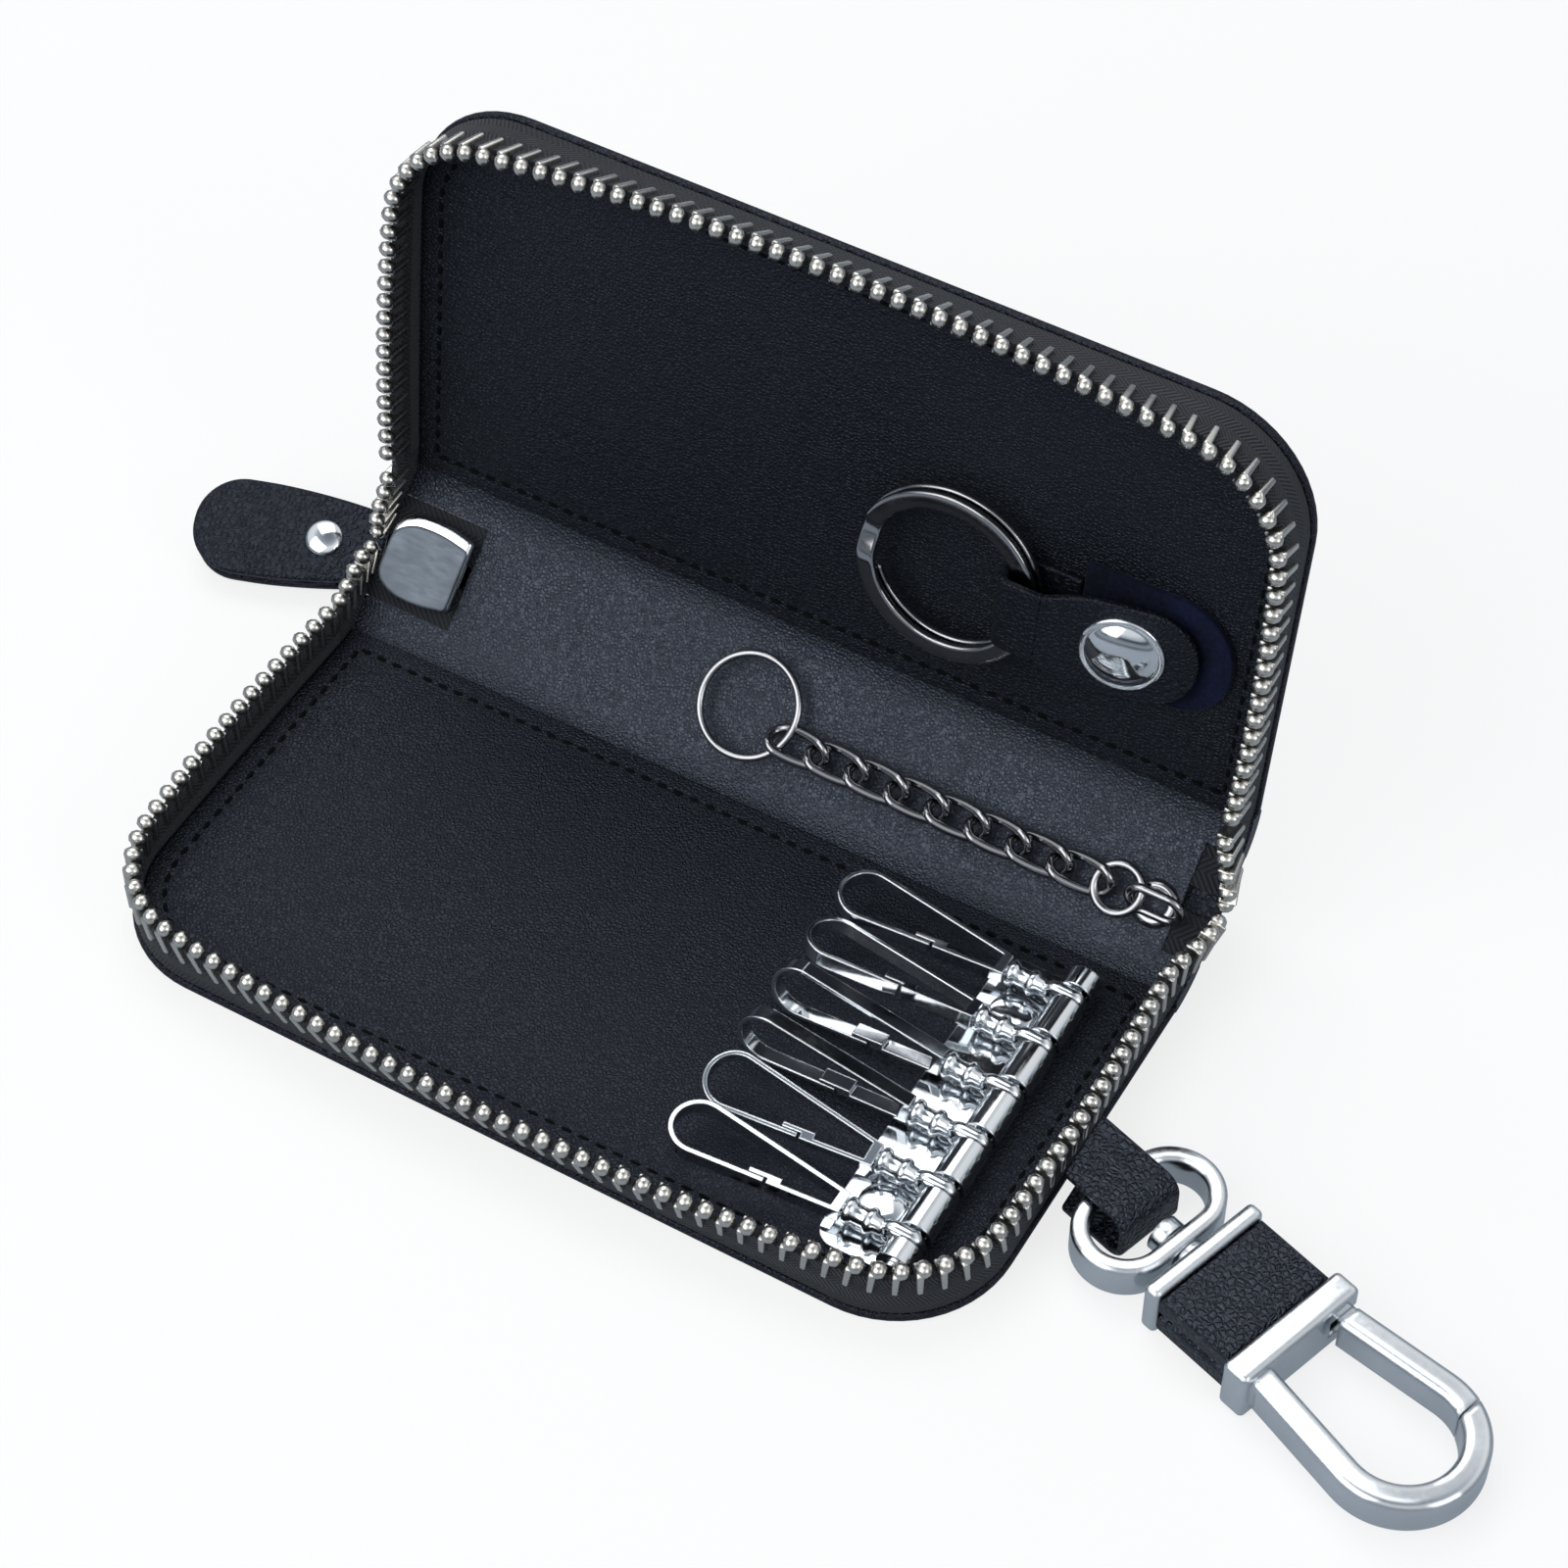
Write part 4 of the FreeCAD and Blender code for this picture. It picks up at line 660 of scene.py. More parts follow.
class KEYCASE_OT_folds(bpy.types.Operator):
    """The two strips of bare leather that bend between the panels and the spine"""
    bl_idname = "keycase.folds"
    bl_label = "Leather folds"

    def execute(self, context):
        size = sizes()
        radius = size.fold_half / math.tan(size.fold_angle / 2)
        thick = size.cover_thick + size.lining_thick
        middle = radius - thick / 2
        for name, place, bodies in (("lower_fold", lower_place(), ("case_lower", "case_spine")),
                                    ("upper_fold", upper_axis(), ("case_spine", "case_upper"))):
            def spot(u, v):
                turn = v * size.fold_angle
                along = (2 * u - 1) * size.fold_reach
                return place @ Vector((along, -size.fold_half + middle * math.sin(turn),
                                       radius - middle * math.cos(turn)))

            piece = mapped(f"{name}_leather", 60, 12, spot, across=0.1, up=0.007)
            apply_modifier(piece, "SOLIDIFY", thickness=thick, offset=0)
            close_up(piece)
            dress(piece, finish("spine_leather"), None, [name])
            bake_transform(piece)
        return {"FINISHED"}


class KEYCASE_OT_zip_tapes(bpy.types.Operator):
    """Woven zip tape round both halves, its free stretches across the folds, and its tails on the spine"""
    bl_idname = "keycase.zip_tapes"
    bl_label = "Zip tapes"

    def execute(self, context):
        size = sizes()
        spine = spine_place()
        stations = shares_of((18, 14, 44, 14, 18))
        columns = len(stations) - 1
        selvedge = 0.25 * MM
        for name, place, side, body in halves():
            rim = Rim(side, place)

            def wall(u, v):
                share = stations[round(u * columns)]
                return rim.foot(share).lerp(rim.top(share), v)

            piece = mapped(f"{name}_tape_cloth", columns, 6, wall, across=0.26, up=0.0078)
            apply_modifier(piece, "SOLIDIFY", thickness=size.tape_thick, offset=0)
            apply_modifier(piece, "BEVEL", width=selvedge, segments=2, limit_method="ANGLE")
            dress(piece, finish("herringbone_tape"), body, [f"{name}_zip_tape"])
            for right in (True, False):
                gusset = Gusset(rim, right)

                def sheet(u, v):
                    return gusset.spot(0, u).lerp(gusset.spot(1, u), v)

                end = "right" if right else "left"
                piece = mapped(f"{name}_{end}_gusset_cloth", 24, 6, sheet, across=0.018, up=0.0065)
                apply_modifier(piece, "SOLIDIFY", thickness=TAIL_THICK, offset=0)
                dress(piece, finish("herringbone_tape"), None, [f"{name}_gussets"])
                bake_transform(piece)
        wide = TAIL_EDGE - size.tail_start
        level = size.cover_thick + TAIL_RISE
        for k, (low, high) in enumerate(((TAIL_LEFT, -size.spine_left), (size.spine_right, TAIL_RIGHT))):
            for j, start in enumerate((size.tail_start, size.spine_width - TAIL_EDGE)):
                def strip(u, v):
                    return spine @ Vector((low + u * (high - low), start + v * wide, level))

                piece = mapped(f"zip_tail_{k + 1}_{j + 1}", 12, 4, strip, high - low, wide)
                apply_modifier(piece, "SOLIDIFY", thickness=TAIL_THICK, offset=0)
                dress(piece, finish("herringbone_tape"), "case_spine", ["zip_tails"])
        return {"FINISHED"}


def tooth_master():
    """One zip tooth: a rounded head, and a narrower leg at one side of it that clamps the tape's edge."""
    leg_size = (0.95 * MM, 2.3 * MM, 3.4 * MM)
    leg_edge = 0.18 * MM
    taper_shares = (0.8, 0.95, 1)
    lean = -0.3 * MM
    leg_spot = (0.55 * MM, 0, -0.4 * MM)
    head_radii = (1.0 * MM, 1.15 * MM, 0.95 * MM)
    head_spot = (0, 0, 1.35 * MM)
    bpy.ops.object.select_all(action="DESELECT")
    bpy.ops.mesh.primitive_cube_add(size=1)
    leg = fresh("tooth_leg")
    put(leg, Matrix.Diagonal((*leg_size, 1)))
    bpy.ops.object.mode_set(mode="EDIT")
    bpy.ops.mesh.select_all(action="SELECT")
    bpy.ops.mesh.bevel(offset=leg_edge, segments=1, affect="EDGES")
    choose(leg, "VERT", lambda vertex: vertex.co.z < 0)
    bpy.ops.transform.resize(value=taper_shares, center_override=(0, 0, 0))
    bpy.ops.transform.translate(value=(lean, 0, 0))
    bpy.ops.object.mode_set(mode="OBJECT")
    put(leg, Matrix.Translation(leg_spot))
    bpy.ops.object.select_all(action="DESELECT")
    bpy.ops.mesh.primitive_uv_sphere_add(segments=10, ring_count=6, radius=1)
    head = fresh("tooth")
    put(head, Matrix.Translation(head_spot) @ Matrix.Diagonal((*head_radii, 1)))
    leg.select_set(True)
    bpy.ops.object.join()
    return head


def stood(foot, top, ahead):
    """Where a tooth stands: X along the tape, Z from its foot to its rim."""
    up = (top - foot).normalized()
    along = (ahead - up * ahead.dot(up)).normalized()
    side = up.cross(along)
    turned = Matrix((along, side, up)).transposed().to_4x4()
    turned.translation = top
    return turned


class KEYCASE_OT_zip_teeth(bpy.types.Operator):
    """Rows of nickel zip teeth along the tapes and across the folds"""
    bl_idname = "keycase.zip_teeth"
    bl_label = "Zip teeth"

    def execute(self, context):
        size = sizes()
        bare_ends = 3.2 * MM
        step = 0.01
        for name, place, side, body in halves():
            rim = Rim(side, place)
            shares = np.linspace(0, 5, 1001)
            tops = [rim.top(s) for s in shares]
            run = np.concatenate([[0], np.cumsum([(b - a).length for a, b in zip(tops, tops[1:])])])
            count = int((run[-1] - bare_ends) / size.tooth_pitch)
            first = (run[-1] - count * size.tooth_pitch) / 2 + (0 if side < 0 else size.tooth_pitch / 2)
            spots = []
            for k in range(count if side > 0 else count + 1):
                share = float(np.interp(first + k * size.tooth_pitch, run, shares))
                ahead = rim.top(min(share + step, 5)) - rim.top(max(share - step, 0))
                spots.append(stood(rim.foot(share), rim.top(share), ahead))
            row = repeat(f"{name}_teeth_row", tooth_master(), spots)
            dress(row, finish("nickel_teeth"), body, [f"{name}_zip_teeth"], 60)
            for right in (True, False):
                gusset = Gusset(rim, right)
                facing = -1 if right else 1
                spots = []
                for share in (0.1, 0.27, 0.44, 0.61, 0.78):
                    ahead = (gusset.spot(1, share + step) - gusset.spot(1, share - step)) * facing
                    spots.append(stood(gusset.spot(0, share), gusset.spot(1, share), ahead))
                end = "right" if right else "left"
                row = repeat(f"{name}_{end}_gusset_teeth", tooth_master(), spots)
                dress(row, finish("nickel_teeth"), None, (), 60)
                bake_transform(row)
        return {"FINISHED"}


def stitch_spots(line, pitch, level):
    """Even spots along a flat line of points, each turned along the line."""
    points = [Vector((p[0], p[1], level)) for p in line]
    run = np.concatenate([[0], np.cumsum([(b - a).length for a, b in zip(points, points[1:])])])
    count = max(int(run[-1] / pitch), 1)
    spots = []
    for k in range(count):
        along = (k + 0.5) * run[-1] / count
        j = min(int(np.searchsorted(run, along)) - 1, len(points) - 2)
        share = (along - run[j]) / (run[j + 1] - run[j])
        ahead = points[j + 1] - points[j]
        turned = Matrix.Rotation(math.atan2(ahead.y, ahead.x), 4, "Z")
        turned.translation = points[j].lerp(points[j + 1], share)
        spots.append(turned)
    return spots


def stitch_master():
    """One sunk lock stitch: a short round thread, tapered where it dives into the leather."""
    radii = (0.8 * MM, 0.34 * MM, 0.36 * MM)
    tip, dive = 0.75 * MM, -0.35 * MM
    bpy.ops.object.select_all(action="DESELECT")
    bpy.ops.mesh.primitive_uv_sphere_add(segments=6, ring_count=6, radius=1)
    obj = fresh("stitch")
    put(obj, Matrix.Diagonal((*radii, 1)) @ Matrix.Rotation(math.pi / 2, 4, "Y"))
    bpy.ops.object.mode_set(mode="EDIT")
    choose(obj, "VERT", lambda vertex: abs(vertex.co.x) > tip)
    bpy.ops.transform.translate(value=(0, 0, dive))
    bpy.ops.object.mode_set(mode="OBJECT")
    return obj


class KEYCASE_OT_stitching(bpy.types.Operator):
    """Lock stitches round the two linings"""
    bl_idname = "keycase.stitching"
    bl_label = "Stitching"

    def execute(self, context):
        size = sizes()
        inset = LINING_INSET + SEAM_REACH
        half = size.case_length / 2 - inset
        back = size.fold_half + SEAM_REACH
        front = size.panel_depth - inset
        radius = size.corner_radius - inset
        corner = [(half - radius + radius * math.cos(t), front - radius + radius * math.sin(t))
                  for t in np.linspace(0, math.pi / 2, 9)]
        outline = [(half, back)] + corner + [(-x, y) for x, y in reversed(corner)]
        outline += [(-half, back), (half, back)]
        level = size.lining_level + size.lining_thick - SEAM_DEPTH
        for name, place, side, body in halves():
            line = [(x, side * y) for x, y in outline]
            spots = stitch_spots(line, size.stitch_pitch, level)
            row = repeat(f"{name}_lining_stitches", stitch_master(), spots)
            put(row, place)
            dress(row, finish("waxed_thread"), body, (), 60)
        return {"FINISHED"}


def in_mm(outline):
    """An outline given in millimetres, in the frame's metres."""
    return [(x * MM, y * MM) for x, y in outline]


def pull_place():
    """The pull tab's frame: on the slider's lug, swung out past the case's end and rolled a little."""
    lug = Vector((-2.85, 0, -4.75)) * MM
    yaw, roll = math.radians(18), math.radians(22)
    pivot = spine_place() @ (SLIDER_SPOT + lug)
    return Matrix.Translation(pivot) @ Matrix.Rotation(yaw, 4, "Z") @ Matrix.Rotation(roll, 4, "X")


class KEYCASE_OT_zip_pull(bpy.types.Operator):
    """The leather tab on the zip slider: two faced layers on a suede core"""
    bl_idname = "keycase.zip_pull"
    bl_label = "Zip pull tab"

    def execute(self, context):
        place = pull_place()
        end_round, waist_round, tip_round, core_round = 6.2 * MM, 8.0 * MM, 2.0 * MM, 5.8 * MM
        core_half, edge, core_edge = 0.65 * MM, 0.4 * MM, 0.2 * MM
        faced = in_mm([(-31.1, -6.5), (-14.6, -6.5), (-5.6, -4.5), (-5.6, 4.5), (-14.6, 6.5), (-31.1, 6.5)])
        rounds = {0: end_round, 5: end_round, 1: waist_round, 4: waist_round, 2: tip_round, 3: tip_round}
        for name, low, high, nodes in (("pull_tab_face", 0.6, 1.8, ["zip_pull_tab"]),
                                       ("pull_tab_back", -1.8, -0.6, [])):
            piece = plate(name, faced, low * MM, high * MM, edge, rounds)
            put(piece, place)
            dress(piece, finish("pebbled_leather"), "pull", nodes)
        core = in_mm([(-30.7, -6.1), (-14.8, -6.1), (-11.2, -5.3), (-11.2, 5.3), (-14.8, 6.1), (-30.7, 6.1)])
        rounds = {0: core_round, 5: core_round}
        piece = plate("pull_tab_core", core, -core_half, core_half, core_edge, rounds)
        put(piece, place)
        dress(piece, finish("navy_suede"), "pull")
        return {"FINISHED"}


class KEYCASE_OT_zip_slider(bpy.types.Operator):
    """Cast shields over the slider's two plates: a satin face set low in a polished rim, which is partly real
    plating and partly a painted highlight along the top
    """
    bl_idname = "keycase.zip_slider"
    bl_label = "Zip slider"

    def execute(self, context):
        place = spine_place() @ Matrix.Translation(SLIDER_SPOT)
        near = [(-5.6, -3.6), (-3.0, -5.4), (1.0, -5.7), (5.5, -4.8)]
        corners = in_mm(near + [(x, -y) for x, y in reversed(near)])
        near_rounds = (1.3, 1.2, 1.8, 0.6)
        rounds = {k: radius * MM for k, radius in enumerate(near_rounds + near_rounds[::-1])}
        # painted highlight: the satin face is narrowed and dropped, so the bright chrome band along the top
        # stands in for the highlight there
        long_share, wide_share, drop = 0.97, 0.86, 0.7 * MM
        face_corners = [(x * long_share, y * wide_share - drop) for x, y in corners]
        inner, middle, outer, proud = 1.25 * MM, 2 * MM, 2.75 * MM, 0.06 * MM
        shield_edge, face_edge = 0.7 * MM, 0.05 * MM
        for name, side in (("inner", 1), ("outer", -1)):
            low, high = sorted((side * inner, side * outer))
            piece = plate(f"slider_{name}_shield", corners, low, high, shield_edge, rounds)
            put(piece, place)
            dress(piece, finish("bright_chrome"), "slider")
            low, high = sorted((side * middle, side * (outer + proud)))
            piece = plate(f"slider_{name}_face", face_corners, low, high, face_edge, rounds)
            put(piece, place)
            dress(piece, finish("satin_nickel"), "slider")
        return {"FINISHED"}


class KEYCASE_OT_split_ring(bpy.types.Operator):
    """The split ring: two turns of flattened wire with rounded edges, joined by a sloping step"""
    bl_idname = "keycase.split_ring"
    bl_label = "Split ring"

    def execute(self, context):
        place = upper_place() @ Matrix.Translation(RING_SPOT) @ Matrix.Rotation(math.pi, 4, "Z")
        middle, wide, thick, rise = 10.85, 2.3, 1.0, 1.45
        step_half, gap = math.radians(12), math.radians(5)
        start, stop = step_half + gap, 4 * math.pi - step_half - gap
        step_from, step_to = 2 * math.pi - step_half, 2 * math.pi + step_half
        squareness = 0.45

        def turns(u, v):
            turn = start + (stop - start) * u
            climb = min(max((turn - step_from) / (step_to - step_from), 0), 1)
            level = -rise / 2 + rise * climb * climb * (3 - 2 * climb)
            spin = 2 * math.pi * v
            across, up = math.cos(spin), math.sin(spin)
            across = math.copysign(abs(across) ** squareness, across) * wide / 2
            up = math.copysign(abs(up) ** squareness, up) * thick / 2
            if u < 0.001 or u > 0.999:
                across, up = 0, 0
            radius = (middle + across) * MM
            return place @ Vector((radius * math.cos(turn), radius * math.sin(turn), (level + up) * MM))

        piece = mapped("split_ring_turns", 180, 20, turns)
        close_up(piece)
        dress(piece, finish("dark_nickel"), "split_ring", ["split_ring"], 50)
        return {"FINISHED"}


def quarter(steps=8):
    """Turns of a quarter circle, in even steps."""
    return [math.radians(t) for t in np.linspace(0, 90, steps + 1)]


def lathe(profile, place):
    """Turns a profile of radii and heights in millimetres round the Z axis of a frame, for mapped."""
    steps = len(profile) - 1

    def spot(u, v):
        radius, rise = profile[round(v * steps)]
        turn = u * 2 * math.pi
        return place @ Vector((radius * MM * math.cos(turn), radius * MM * math.sin(turn), rise * MM))

    return spot


class KEYCASE_OT_ring_strap(bpy.types.Operator):
    """The snap strap on the upper lining: loop round the ring, suede backing, flap and snap cap"""
    bl_idname = "keycase.ring_strap"
    bl_label = "Ring strap"

    def execute(self, context):
        place = upper_place() @ Matrix.Translation(STRAP_SPOT)
        thick, edge, width = 1.0 * MM, 0.3 * MM, 10 * MM
        bend, bend_start, foot, top = 1.5, -1.9, 0.5, 5.9
        line = [(5.0, foot)]
        line += [(bend_start - bend * math.sin(t), foot + bend - bend * math.cos(t)) for t in quarter()]
        line += [(bend_start - bend * math.cos(t), top - bend + bend * math.sin(t)) for t in quarter()]
        line += [(2.4, top)]
        count = len(line) - 1

        def loop(u, v):
            x, z = line[round(u * count)]
            return place @ Vector((x * MM, (v - 0.5) * width, z * MM))

        piece = mapped("strap_loop_leather", count, 8, loop, across=0.018, up=0.01)
        apply_modifier(piece, "SOLIDIFY", thickness=thick, offset=0)
        close_up(piece)
        apply_modifier(piece, "BEVEL", width=edge, segments=3, limit_method="ANGLE")
        dress(piece, finish("cover_leather"), "case_upper", ["ring_strap_loop"])

        corners = in_mm([(5.2, -8), (25, -8), (25, 8), (5.2, 8)])
        backing_round = 7.6 * MM
        rounds = {1: backing_round, 2: backing_round}
        piece = plate("strap_backing_suede", corners, 0, thick, edge, rounds)
        put(piece, place)
        dress(piece, finish("navy_suede"), "case_upper", ["ring_strap_backing"])

        # the flap slopes from the loop's top down to the backing
        flap_fall, flap_run = 4.0, 19.5
        drop = math.asin(flap_fall / flap_run)
        crease_spot = Vector((2.5, 0, 6.4)) * MM
        hinge = place @ Matrix.Translation(crease_spot) @ Matrix.Rotation(drop, 4, "Y")
        corners = in_mm([(-0.1, -5), (5, -6.8), (19.3, -6.8), (19.3, 6.8), (5, 6.8), (-0.1, 5)])
        end_round, shoulder_round, flap_edge = 6.4 * MM, 2.0 * MM, 0.35 * MM
        rounds = {2: end_round, 3: end_round, 1: shoulder_round, 4: shoulder_round}
        crease = lambda rim: all(vertex.co.x < 0.2 * MM for vertex in rim.verts)
        piece = plate("strap_flap_leather", corners, -thick, 0, flap_edge, rounds, crease)
        put(piece, hinge)
        dress(piece, finish("cover_leather"), "strap_flap", ["ring_strap_flap"])

        profile = [(0, -0.05), (5.2, -0.05), (5.2, 0.25), (5.0, 0.42), (4.7, 0.44), (4.5, 0.36), (4.3, 0.5),
                   (3.9, 0.85), (3.2, 1.2), (2.4, 1.48), (1.5, 1.64), (0.7, 1.7), (0, 1.7)]
        cap_reach = 10.2 * MM
        cap = lathe(profile, hinge @ Matrix.Translation((cap_reach, 0, 0)))
        piece = mapped("snap_cap_dome", 48, len(profile) - 1, cap)
        close_up(piece)
        dress(piece, finish("bright_chrome"), "strap_flap", ["snap_cap"], 60)
        return {"FINISHED"}


class KEYCASE_OT_clasp_leather(bpy.types.Operator):
    """The leather loop on the case's end and the wrap on the clasp's body"""
    bl_idname = "keycase.clasp_leather"
    bl_label = "Clasp leather"

    def execute(self, context):
        place = Matrix.Translation(CLASP_SPOT) @ Matrix.Rotation(-CLASP_YAW, 4, "Z")
        thick, edge, wrap_edge = 1.0 * MM, 0.3 * MM, 0.7 * MM
        bend, end, rise, width = 1.9, 0.1, 3.3, 9
        # the loop's two layers are cut along the case's wall, which stands this far before the clasp's spot
        wall_gap = 10.15
        steps = [k / 6 for k in range(6)]
        bend_start, inside = end - bend, rise - bend
        line = [("run", s, rise) for s in steps]
        line += [("bend", bend_start + bend * math.sin(t), inside + bend * math.cos(t)) for t in quarter()]
        line += [("bend", bend_start + bend * math.cos(t), -inside - bend * math.sin(t)) for t in quarter()]
        line += [("run", s, -rise) for s in reversed(steps)]
        count = len(line) - 1

        def loop(u, v):
            kind, x, z = line[round(u * count)]
            across = (v - 0.5) * width
            if kind == "run":
                start = -wall_gap / math.cos(CLASP_YAW) - across * math.tan(CLASP_YAW)
                x = start + (bend_start - start) * x
            return place @ Vector((x * MM, across * MM, z * MM))

        piece = mapped("clasp_loop_leather", count, 8, loop, across=0.03, up=0.009)
        apply_modifier(piece, "SOLIDIFY", thickness=thick, offset=0)
        close_up(piece)
        apply_modifier(piece, "BEVEL", width=edge, segments=3, limit_method="ANGLE")
        dress(piece, finish("polished_leather"), "case_lower", ["clasp_strap"])

        wrap_start, wrap_stop, wrap_half = 9.7, 20.2, 8.1
        corners = in_mm([(wrap_start, -wrap_half), (wrap_stop, -wrap_half),
                         (wrap_stop, wrap_half), (wrap_start, wrap_half)])
        for k, (bottom, top) in enumerate(((0.06, 3.35), (-3.35, -0.06))):
            piece = plate(f"clasp_wrap_{k + 1}", corners, bottom * MM, top * MM, wrap_edge)
            put(piece, place)
            dress(piece, finish("polished_leather"), "clasp", ["clasp_leather"])
        return {"FINISHED"}


class KEYCASE_OT_chain_eyelet(bpy.types.Operator):
    """The grommet in the spine lining under the chain's anchor"""
    bl_idname = "keycase.chain_eyelet"
    bl_label = "Chain eyelet"

    def execute(self, context):
        profile = [(1.5, -0.3), (1.5, 0.35), (1.75, 0.6), (2.2, 0.65), (2.7, 0.5), (3.0, 0.15), (3.0, -0.1),
                   (1.5, -0.3)]
        ring = lathe(profile, spine_place() @ Matrix.Translation(EYELET_SPOT))
        piece = mapped("chain_eyelet_ring", 40, len(profile) - 1, ring)
        close_up(piece)
        dress(piece, finish("dark_nickel"), "case_spine", (), 60)
        return {"FINISHED"}


def racetrack(share, half, radius):
    """A point of a loop with two straight sides and round ends, and the way out from the loop there."""
    straight, bend = 2 * half, math.pi * radius
    run = share % 1 * 2 * (straight + bend)
    side = 1 if run < straight + bend else -1
    run -= 0 if side > 0 else straight + bend
    if run < straight:
        return Vector((side * (run - half), -side * radius, 0)), Vector((0, -side, 0))
    turn = (run - straight) / radius - math.pi / 2
    out = Vector((math.cos(turn), math.sin(turn), 0)) * side
    return Vector((side * half, 0, 0)) + out * radius, out


class KEYCASE_OT_shackles(bpy.types.Operator):
    """The six swivels on the hook bar: an eye of flat wire round the rod and a turned barrel for the pin"""
    bl_idname = "keycase.shackles"
    bl_label = "Hook shackles"

    def execute(self, context):
        barrel = [(-2.9, 0), (-2.9, 0.7), (-3.4, 1.1), (-4.3, 1.2), (-4.6, 1.6), (-5.0, 1.75), (-5.4, 1.6),
                  (-5.7, 1.25), (-7.0, 1.25), (-7.3, 1.6), (-7.7, 1.75), (-8.1, 1.6), (-8.3, 1.2), (-8.3, 0)]
        steps = len(barrel) - 1
        eye_half, eye_radius, half_thick, half_wide = 0.9, 1.6, 0.4, 0.75
        droop = math.radians(4)
        for k in range(HOOK_COUNT):
            across = Vector((0, ((HOOK_COUNT - 1) / 2 - k) * HOOK_PITCH, 0))
            place = Matrix.Translation(HOOK_ROD_SPOT + across) @ Matrix.Rotation(droop, 4, "Y")

            def turned(u, v):
                along, radius = barrel[round(v * steps)]
                turn = u * 2 * math.pi
                return place @ (Vector((along, radius * math.cos(turn), radius * math.sin(turn))) * MM)

            def eye(u, v):
                spot, out = racetrack(u, eye_half, eye_radius)
                turn = v * 2 * math.pi
                spot += out * half_thick * math.cos(turn) + Vector((0, 0, half_wide * math.sin(turn)))
                return place @ (Vector((spot.x - eye_half, spot.z, spot.y)) * MM)

            piece = mapped(f"hook_{k + 1}_swivel_eye", 48, 12, eye)
            close_up(piece)
            body = mapped(f"hook_{k + 1}_barrel", 20, steps, turned)
            close_up(body)
            piece.select_set(True)
            bpy.ops.object.join()
            dress(fresh(f"hook_{k + 1}_swivel_barrel"), finish("bright_chrome"),
                  f"hook_{k + 1}_swivel", [f"hook_{k + 1}_shackle"], 50)
        return {"FINISHED"}


class KEYCASE_OT_chain(bpy.types.Operator):
    """Curb links: each is twisted a quarter turn from end to end, so the chain lies flat"""
    bl_idname = "keycase.chain"
    bl_label = "Curb chain"

    def execute(self, context):
        normal = spine_place().to_3x3() @ Vector((0, 0, 1))
        middles = []
        for k in range(1, LINK_COUNT + 1):
            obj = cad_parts[f"chain_link_{k}"]
            corners = [obj.matrix_world @ Vector(corner) for corner in obj.bound_box]
            middles.append(sum(corners, Vector()) / len(corners))
        half, radius, wire = 2.15, 1.85, 0.62
        twist_most = math.radians(45)
        for k, middle in enumerate(middles):
            along = (middles[min(k + 1, LINK_COUNT - 1)] - middles[max(k - 1, 0)]).normalized()
            side = normal.cross(along).normalized()
            place = Matrix((along, side, along.cross(side))).transposed().to_4x4()
            place.translation = middle

            def link(u, v):
                spot, out = racetrack(u, half, radius)
                turn = v * 2 * math.pi
                spot += wire * (out * math.cos(turn) + Vector((0, 0, math.sin(turn))))
                reach = max(min(spot.x / (half + radius), 1), -1)
                return place @ (Matrix.Rotation(twist_most * reach, 3, "X") @ spot * MM)

            piece = mapped(f"curb_link_{k + 1}", 48, 12, link)
            close_up(piece)
            nodes = [f"chain_link_{k + 1}"]
            dress(piece, finish("dark_nickel"), f"chain_{k + 1}", nodes, 60)
        return {"FINISHED"}


NODE_FINISHES = (
    ("bright_chrome", ["hook_plate", "hook_rod", "hook_plate_rivets", "pull_rivet", "snap_stud", "gate_pin"]
     + [f"hook_{k}_snap" for k in range(1, HOOK_COUNT + 1)]),
    ("clasp_chrome", ["oval_link", "swivel_post", "clasp_frame", "clasp_gate"]),
    ("dark_nickel", ["chain_anchor", "chain_jump_ring", "wire_key_ring"]),
    ("satin_nickel", ["zip_slider", "zip_bail"]),
    ("fibre_board", ["lower_board", "upper_board"]),
)


class KEYCASE_OT_hardware(bpy.types.Operator):
    """Finishes for the hooks, chain, rings, slider and clasp, whose shapes stay as they are"""
    bl_idname = "keycase.hardware"
    bl_label = "Hardware finishes"

    def execute(self, context):
        for name, nodes in NODE_FINISHES:
            for each in nodes:
                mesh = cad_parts[each].data
                mesh.materials.clear()
                mesh.materials.append(finish(name))
        return {"FINISHED"}


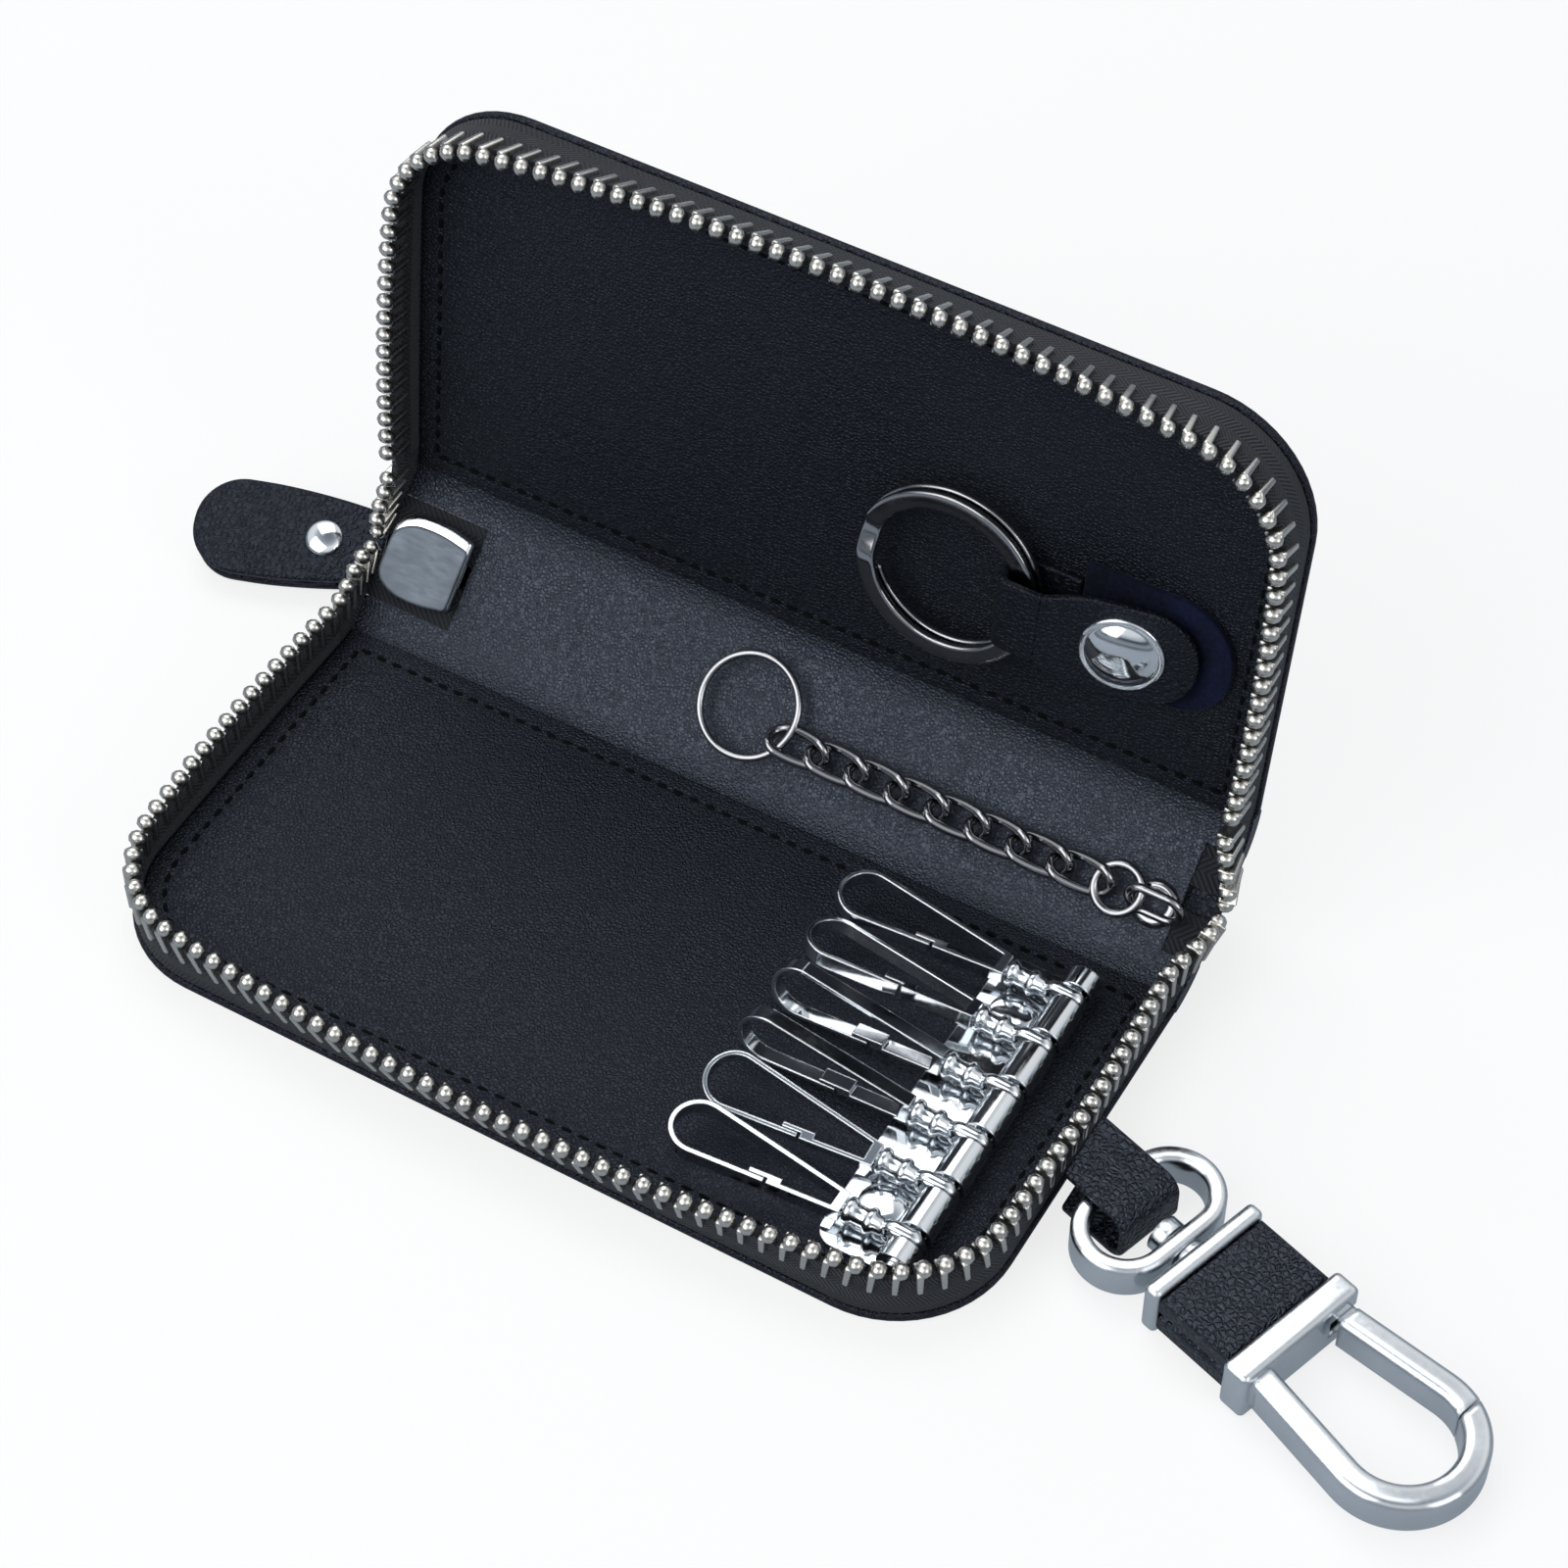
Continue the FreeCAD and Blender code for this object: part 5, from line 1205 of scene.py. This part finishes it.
class KEYCASE_OT_stage(bpy.types.Operator):
    """Pale floor, soft studio light and the camera"""
    bl_idname = "keycase.stage"
    bl_label = "Stage"

    def execute(self, context):
        scene = context.scene
        scene.view_settings.view_transform = "Standard"
        bpy.ops.object.select_all(action="DESELECT")
        bpy.ops.mesh.primitive_plane_add(size=6, location=(0, 0, -0.02 * MM))
        floor = fresh("floor")
        put(floor, floor.matrix_world.copy())
        floor.matrix_world = Matrix.Identity(4)
        # matt paper: white to the eye, pale grey-blue in the metal, mid grey for the light it sends back
        made, tree = blank("pale_floor")
        ray = node(tree, "ShaderNodeLightPath")
        seen = node(tree, "ShaderNodeMath", {0: ray.outputs["Is Camera Ray"], 1: 0.78}, operation="MULTIPLY")
        tone = node(tree, "ShaderNodeValToRGB", {"Fac": ray.outputs["Is Camera Ray"]})
        tone.color_ramp.elements[0].color = linear("a9b0b8")
        tone.color_ramp.elements[1].color = colours().floor
        matt = node(tree, "ShaderNodeBsdfDiffuse", {"Color": tone.outputs["Color"]})
        glow = node(tree, "ShaderNodeEmission", {"Color": colours().floor, "Strength": 1.0})
        both = node(tree, "ShaderNodeMixShader", {0: seen.outputs[0], 1: matt.outputs[0], 2: glow.outputs[0]})
        pale = node(tree, "ShaderNodeEmission", {"Color": linear("b4bfc8"), "Strength": 1.0})
        mirrored = node(tree, "ShaderNodeMixShader", {0: 0.4, 1: matt.outputs[0], 2: pale.outputs[0]})
        glossy = node(tree, "ShaderNodeMath", {
            0: ray.outputs["Is Glossy Ray"], 1: ray.outputs["Is Transmission Ray"]}, operation="MAXIMUM")
        whole = node(tree, "ShaderNodeMixShader", {
            0: glossy.outputs[0], 1: both.outputs[0], 2: mirrored.outputs[0]})
        node(tree, "ShaderNodeOutputMaterial", {"Surface": whole.outputs[0]})
        floor.data.materials.append(made)

        # a white tent overhead that falls to grey at the table's edge, as the bright metal shows it
        world = bpy.data.worlds.new("studio")
        scene.world = world
        world.use_nodes = True
        tree = world.node_tree
        tree.nodes.clear()
        ray = node(tree, "ShaderNodeLightPath")
        sky = node(tree, "ShaderNodeTexCoord").outputs["Generated"]
        facing = node(tree, "ShaderNodeSeparateXYZ", {0: sky})
        tent = node(tree, "ShaderNodeValToRGB", {"Fac": facing.outputs["Z"]})
        tent.color_ramp.elements[0].color = linear("5a636d")
        tent.color_ramp.elements[1].color = linear("7e868e")
        for height, tone in ((0.12, "9aa4ad"), (0.27, "262b32"), (0.36, "b4bec7"), (0.52, "eef2f6"),
                             (0.8, "ffffff"), (0.9, "b9c1c9")):
            tent.color_ramp.elements.new(height).color = linear(tone)
        plain = node(tree, "ShaderNodeBackground", {"Color": linear("e4edfa"), "Strength": 0.35})
        shown = node(tree, "ShaderNodeBackground", {"Color": tent.outputs["Color"], "Strength": 1.0})
        white = node(tree, "ShaderNodeBackground", {"Color": (1, 1, 1, 1), "Strength": 1.0})
        glossy = node(tree, "ShaderNodeMath", {
            0: ray.outputs["Is Glossy Ray"], 1: ray.outputs["Is Transmission Ray"]}, operation="MAXIMUM")
        lit = node(tree, "ShaderNodeMixShader", {
            0: glossy.outputs[0], 1: plain.outputs[0], 2: shown.outputs[0]})
        both = node(tree, "ShaderNodeMixShader", {0: ray.outputs["Is Camera Ray"], 1: lit.outputs[0],
                                                  2: white.outputs[0]})
        node(tree, "ShaderNodeOutputWorld", {"Surface": both.outputs[0]})

        target = Vector((0, 20 * MM, 15 * MM))
        for name, toward, away, power, width in (("key", (-0.32, -0.68, 0.66), 0.8, 3.4, 0.7),
                                                 ("top", (-0.35, 0.35, 0.87), 0.9, 3.0, 0.6),
                                                 ("side", (0.85, -0.2, 0.5), 0.9, 1.2, 0.4)):
            spot = target + Vector(toward).normalized() * away
            bpy.ops.object.light_add(type="AREA", location=spot)
            lamp = context.active_object
            lamp.name = name
            lamp.data.energy = power
            lamp.data.size = width
            lamp.rotation_euler = (target - spot).to_track_quat("-Z", "Y").to_euler()

        # the photo's view: its rise and swing, its distance, and its focal length in pixels of a 1600 frame
        rise, swing = math.radians(50.2), math.radians(30.2)
        distance, aside, below = 494.5 * MM, 8.03 * MM, 1.0 * MM
        sensor, focal_pixels, frame_pixels = 36.0, 4202, 1600
        back = Vector((math.sin(swing) * math.cos(rise), -math.cos(swing) * math.cos(rise), math.sin(rise)))
        right = Vector((math.cos(swing), math.sin(swing), 0))
        up = back.cross(right)
        bpy.ops.object.camera_add(location=target + back * distance + right * aside - up * below)
        camera = context.active_object
        camera.rotation_euler = Matrix((right, up, back)).transposed().to_euler()
        camera.data.sensor_width = sensor
        camera.data.lens = sensor * focal_pixels / frame_pixels
        camera.data.clip_start = 0.01
        scene.camera = camera
        return {"FINISHED"}


PIECES = (KEYCASE_OT_panels, KEYCASE_OT_folds, KEYCASE_OT_zip_tapes, KEYCASE_OT_zip_teeth,
          KEYCASE_OT_stitching, KEYCASE_OT_zip_pull, KEYCASE_OT_zip_slider, KEYCASE_OT_split_ring,
          KEYCASE_OT_ring_strap, KEYCASE_OT_clasp_leather, KEYCASE_OT_chain_eyelet, KEYCASE_OT_shackles,
          KEYCASE_OT_chain, KEYCASE_OT_hardware, KEYCASE_OT_stage)


class KEYCASE_PT_pieces(bpy.types.Panel):
    """Lists the operators that dress the key case"""
    bl_idname = "KEYCASE_PT_pieces"
    bl_label = "Key case"
    bl_space_type = "VIEW_3D"
    bl_region_type = "UI"
    bl_category = "Key case"

    def draw(self, context):
        for operator in PIECES:
            self.layout.operator(operator.bl_idname)


CLASSES = (KeyCaseSizes, KeyCaseColours) + PIECES + (KEYCASE_PT_pieces,)


def register():
    for cls in CLASSES:
        bpy.utils.register_class(cls)
    bpy.types.Scene.key_case_sizes = PointerProperty(type=KeyCaseSizes)
    bpy.types.Scene.key_case_colours = PointerProperty(type=KeyCaseColours)


def unregister():
    del bpy.types.Scene.key_case_colours
    del bpy.types.Scene.key_case_sizes
    for cls in reversed(CLASSES):
        bpy.utils.unregister_class(cls)


def main():
    register()
    for operator in PIECES:
        group, name = operator.bl_idname.split(".")
        getattr(getattr(bpy.ops, group), name)()


if __name__ == "__main__":
    main()
